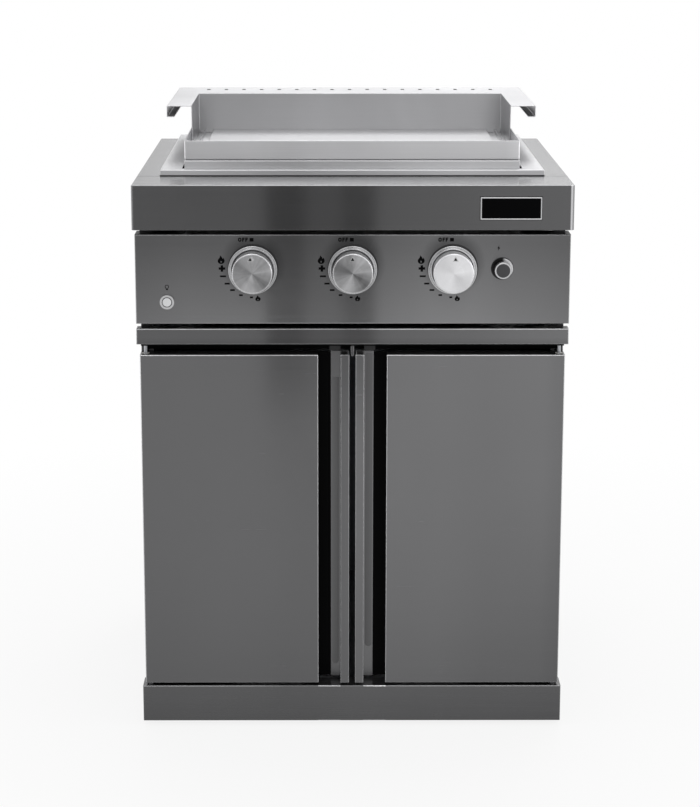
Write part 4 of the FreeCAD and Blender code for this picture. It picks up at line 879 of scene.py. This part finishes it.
# Black strips of painted shade in the slots.
add_flat("hood_slot_shades", shades, SHADE_SHEET * MM, (0, 0, hood.z - SHADE_DEPTH * MM),
         "splash_guard", black, upright=False)

# The seams across the counter's top, in line with the front of the griddle's frame.
SEAM_WIDTH, SEAM_GAP = 0.8, 0.6
seam_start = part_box("griddle_frame")[1].x / MM + SEAM_GAP
seam_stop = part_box("countertop")[1].x / MM - SEAM_GAP
seam_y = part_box("griddle_frame")[0].y / MM
for side, sign in (("left", -1), ("right", 1)):
    across = sorted((sign * seam_start, sign * seam_stop))
    seam = rectangle(*across, seam_y - SEAM_WIDTH / 2, seam_y + SEAM_WIDTH / 2)
    add_flat("counter_seam_" + side, [seam], INK, (0, 0, counter_level * MM + INK / 2),
             "cabinet", rubber, upright=False)


# Studio

WHITE = (1, 1, 1, 1)
FLOOR_TONES = (0.84, 0.84, 0.84, 1), (0.87, 0.87, 0.87, 1)
CARD_TONES = (0.01, 0.01, 0.01, 1.0), (0.02, 0.02, 0.02, 1.0)
HALF_FLOOR = 14.0
# Where the floor's tones change, from and to, in metres from the object's middle: for the
# camera and for gloss all round, then for gloss to the right, far ahead, beside and in front.
SEEN_ROUND, MIRRORED_ROUND = (0.45, 1.6), (0.45, 1.9)
FLOOR_RIGHT, FAR_AHEAD, BESIDE, BEFORE = (0.0, 1.1), (3.2, 5.0), (1.4, 2.2), (0.25, 0.40)
# How white the camera sees it near the object, and how light gloss mirrors it there.
SEEN_NEAR, MIRRORED_NEAR = 0.86, 0.45
# What gloss mirrors of the floor, by metres before FLOOR_FRONT, and how much lighter the floor
# and the sky are at the right.
FLOOR_FRONT = 0.3
FRONT_FLOOR = ((0.0, 0.55), (0.25, 0.64), (0.5, 0.72), (1.0, 0.80), (2.0, 0.86), (3.4, 0.90),
               (4.4, 0.74), (5.4, 0.47), (7.5, 0.42), (12.0, 0.42))
RIGHT_GAIN = 2.3
# Where the sky's tones change, by the Y, Z and X parts of a direction: in front, low down and
# at the right.
SKY_FRONT, SKY_LOW, SKY_RIGHT = (-0.75, -0.1), (0.06, 0.40), (0.0, 0.18)
# What gloss mirrors of the sky low down before the object, and the sky's even light.
LOW_FRONT = 0.45
SPREAD_LIGHT = 0.62
# Dark cards before the object: their place, foot and head, then each one's ends and level.
CARD_Y, CARD_FOOT, CARD_HEAD = -0.85, 0.44, 1.25
CARDS = {
    "flag_left": (-0.155, -0.082, 0.27),
    "flag_between": (-0.082, -0.012, 0.46),
    "flag_right": (-0.012, 0.050, 0.30),
}
# Each lamp: its place, what it is aimed at, its width and height, and its radiance.
CENTRE = (0.0, 0.0, 0.6)
LAMPS = {
    "key_behind": ((0.35, 1.7, 2.9), (0.0, -0.1, 0.9), (1.8, 1.4), 2.6),
    "front_top": ((0.0, -3.2, 3.4), CENTRE, (2.6, 1.4), 1.3),
    "side_left": ((-2.9, -1.0, 1.5), CENTRE, (1.0, 2.2), 1.0),
    "side_right": ((2.9, -1.0, 1.5), CENTRE, (1.0, 2.2), 1.6),
}


def stage_mesh(name, corners, material):
    """A flat face that belongs to the studio and isn't part of the object."""
    shape = bmesh.new()
    shape.faces.new([shape.verts.new(c) for c in corners])
    mesh = bpy.data.meshes.new(name)
    shape.to_mesh(mesh)
    shape.free()
    mesh.materials.append(material)
    thing = bpy.data.objects.new(name, mesh)
    bpy.context.scene.collection.objects.link(thing)
    return thing


def rays(kit):
    """Whether a ray is the camera's, one of gloss or one through glass, as 1 or 0 each."""
    path = kit.add("LightPath").outputs
    return path["Is Camera Ray"], path["Is Glossy Ray"], path["Is Transmission Ray"]


def pale_floor():
    """A pale floor that takes the object's shadow. To the camera and to gloss it also glows:
    the camera sees it turn white away from the object, and gloss in the front of the object
    mirrors it in the tones of FRONT_FLOOR."""
    floor = Finish("pale_floor", Roughness=0.6)
    mottle = floor.noise(1.3, detail=3.0)
    floor.link("Base Color", floor.blend(mottle, *FLOOR_TONES))
    floor.bump(floor.noise(300, detail=2.0), 0.05, 0.001)
    camera_ray, glossy_ray, _ = rays(floor)
    across = floor.measure("X")
    ahead = floor.product(floor.measure("Y"), -1.0)
    distance = floor.length(floor.place)
    around = floor.spread(distance, MIRRORED_NEAR, 1.0, *MIRRORED_ROUND)
    front = floor.profile(floor.math("SUBTRACT", ahead, FLOOR_FRONT), FRONT_FLOOR)
    right = floor.spread(across, 1.0, RIGHT_GAIN, *FLOOR_RIGHT)
    far = floor.spread(ahead, 0.0, 1.0, *FAR_AHEAD)
    gain = floor.total(1.0, floor.product(far, floor.math("SUBTRACT", right, 1.0)))
    aside = floor.spread(floor.math("ABSOLUTE", across), 0.0, 1.0, *BESIDE)
    before = floor.product(floor.spread(ahead, 0.0, 1.0, *BEFORE), floor.opposite(aside))
    mirrored = floor.mix(before, around, floor.product(front, gain))
    turning_white = floor.spread(distance, SEEN_NEAR, 1.0, *SEEN_ROUND)
    share = floor.total(floor.product(turning_white, camera_ray), glossy_ray)
    strength = floor.total(camera_ray, floor.product(mirrored, glossy_ray))
    glow = floor.add("Emission", Color=WHITE, Strength=strength).outputs[0]
    mixed = floor.add("MixShader", _0=share, _1=floor.shader.outputs[0], _2=glow).outputs[0]
    floor.tree.links.new(mixed, floor.tree.nodes["Material Output"].inputs["Surface"])
    return floor.material


class Sky(Finish):
    """The world's own tree, with the same helpers. Its place is the direction looked in."""

    def __init__(self, world):
        world.use_nodes = True
        self.tree = world.node_tree
        self.background = self.tree.nodes["Background"]
        self.place = self.add("TexCoord").outputs["Generated"]


def white_sky():
    """White to the camera. Gloss mirrors it darker low down before the object, less so to the
    right, and the light that spreads from it is weaker."""
    world = bpy.data.worlds.new("studio")
    bpy.context.scene.world = world
    sky = Sky(world)
    camera_ray, glossy_ray, clear_ray = rays(sky)
    seen = sky.math("MAXIMUM", sky.math("MAXIMUM", camera_ray, glossy_ray), clear_ray)
    ahead = sky.spread(sky.measure("Y"), 1.0, 0.0, *SKY_FRONT)
    low_down = sky.spread(sky.measure("Z"), 1.0, 0.0, *SKY_LOW)
    right = sky.spread(sky.measure("X"), 1.0, RIGHT_GAIN, *SKY_RIGHT)
    lost = sky.opposite(sky.product(right, LOW_FRONT))
    mirrored = sky.opposite(sky.product(ahead, low_down, lost))
    shown = sky.total(camera_ray, clear_ray, sky.product(mirrored, glossy_ray))
    even = sky.product(sky.opposite(seen), SPREAD_LIGHT)
    sky.background.inputs["Color"].default_value = WHITE
    sky.tree.links.new(sky.total(shown, even), sky.background.inputs["Strength"])


def softbox(name, place, target, size, radiance):
    """A rectangular lamp whose face has this radiance, aimed at the target."""
    lamp = bpy.data.lights.new(name, "AREA")
    lamp.shape = "RECTANGLE"
    lamp.size, lamp.size_y = size
    lamp.energy = radiance * math.pi * size[0] * size[1]
    thing = bpy.data.objects.new(name, lamp)
    thing.location = place
    thing.rotation_euler = (Vector(target) - Vector(place)).to_track_quat("-Z", "Y").to_euler()
    bpy.context.scene.collection.objects.link(thing)


def dark_card(name, x0, x1, level):
    """A narrow card before the object, of this level, which only the steel's gloss shows."""
    shade = Finish(name + "_card", Roughness=0.6, Emission_Color=WHITE, Emission_Strength=level)
    shade.link("Base Color", shade.blend(shade.noise(2), *CARD_TONES))
    card = stage_mesh(name, [(x0, CARD_Y, CARD_FOOT), (x1, CARD_Y, CARD_FOOT),
                             (x1, CARD_Y, CARD_HEAD), (x0, CARD_Y, CARD_HEAD)], shade.material)
    for sight in ("camera", "diffuse", "transmission", "shadow"):
        setattr(card, "visible_" + sight, False)


stage_mesh("floor", [(-HALF_FLOOR, -HALF_FLOOR, 0), (HALF_FLOOR, -HALF_FLOOR, 0),
                     (HALF_FLOOR, HALF_FLOOR, 0), (-HALF_FLOOR, HALF_FLOOR, 0)], pale_floor())
white_sky()
for name, card in CARDS.items():
    dark_card(name, *card)
for name, lamp in LAMPS.items():
    softbox(name, *lamp)


# Camera, fitted to the photograph: the focal length is in its pixels, the shifts are shares of
# its longer side, and the angles are in degrees.

PHOTO_LONG_SIDE = 807
FOCAL_PIXELS = 2060.0
SENSOR_WIDTH = 36.0
SHIFT_ACROSS, SHIFT_UP = 0.0205, -0.125
CAMERA_PLACE = (-0.038, -3.5, 1.38)
LOOKING_DOWN, LOOKING_ASIDE = 11.584, -0.132
FARTHEST = 60.0

camera_data = bpy.data.cameras.new("camera")
camera_data.sensor_width = SENSOR_WIDTH
camera_data.lens = FOCAL_PIXELS * SENSOR_WIDTH / PHOTO_LONG_SIDE
camera_data.shift_x = SHIFT_ACROSS
camera_data.shift_y = SHIFT_UP
camera_data.clip_end = FARTHEST
camera = bpy.data.objects.new("camera", camera_data)
camera.location = CAMERA_PLACE
camera.rotation_euler = (math.radians(90 - LOOKING_DOWN), 0.0, math.radians(LOOKING_ASIDE))
bpy.context.scene.collection.objects.link(camera)
bpy.context.scene.camera = camera

bpy.context.scene.view_settings.view_transform = "Standard"
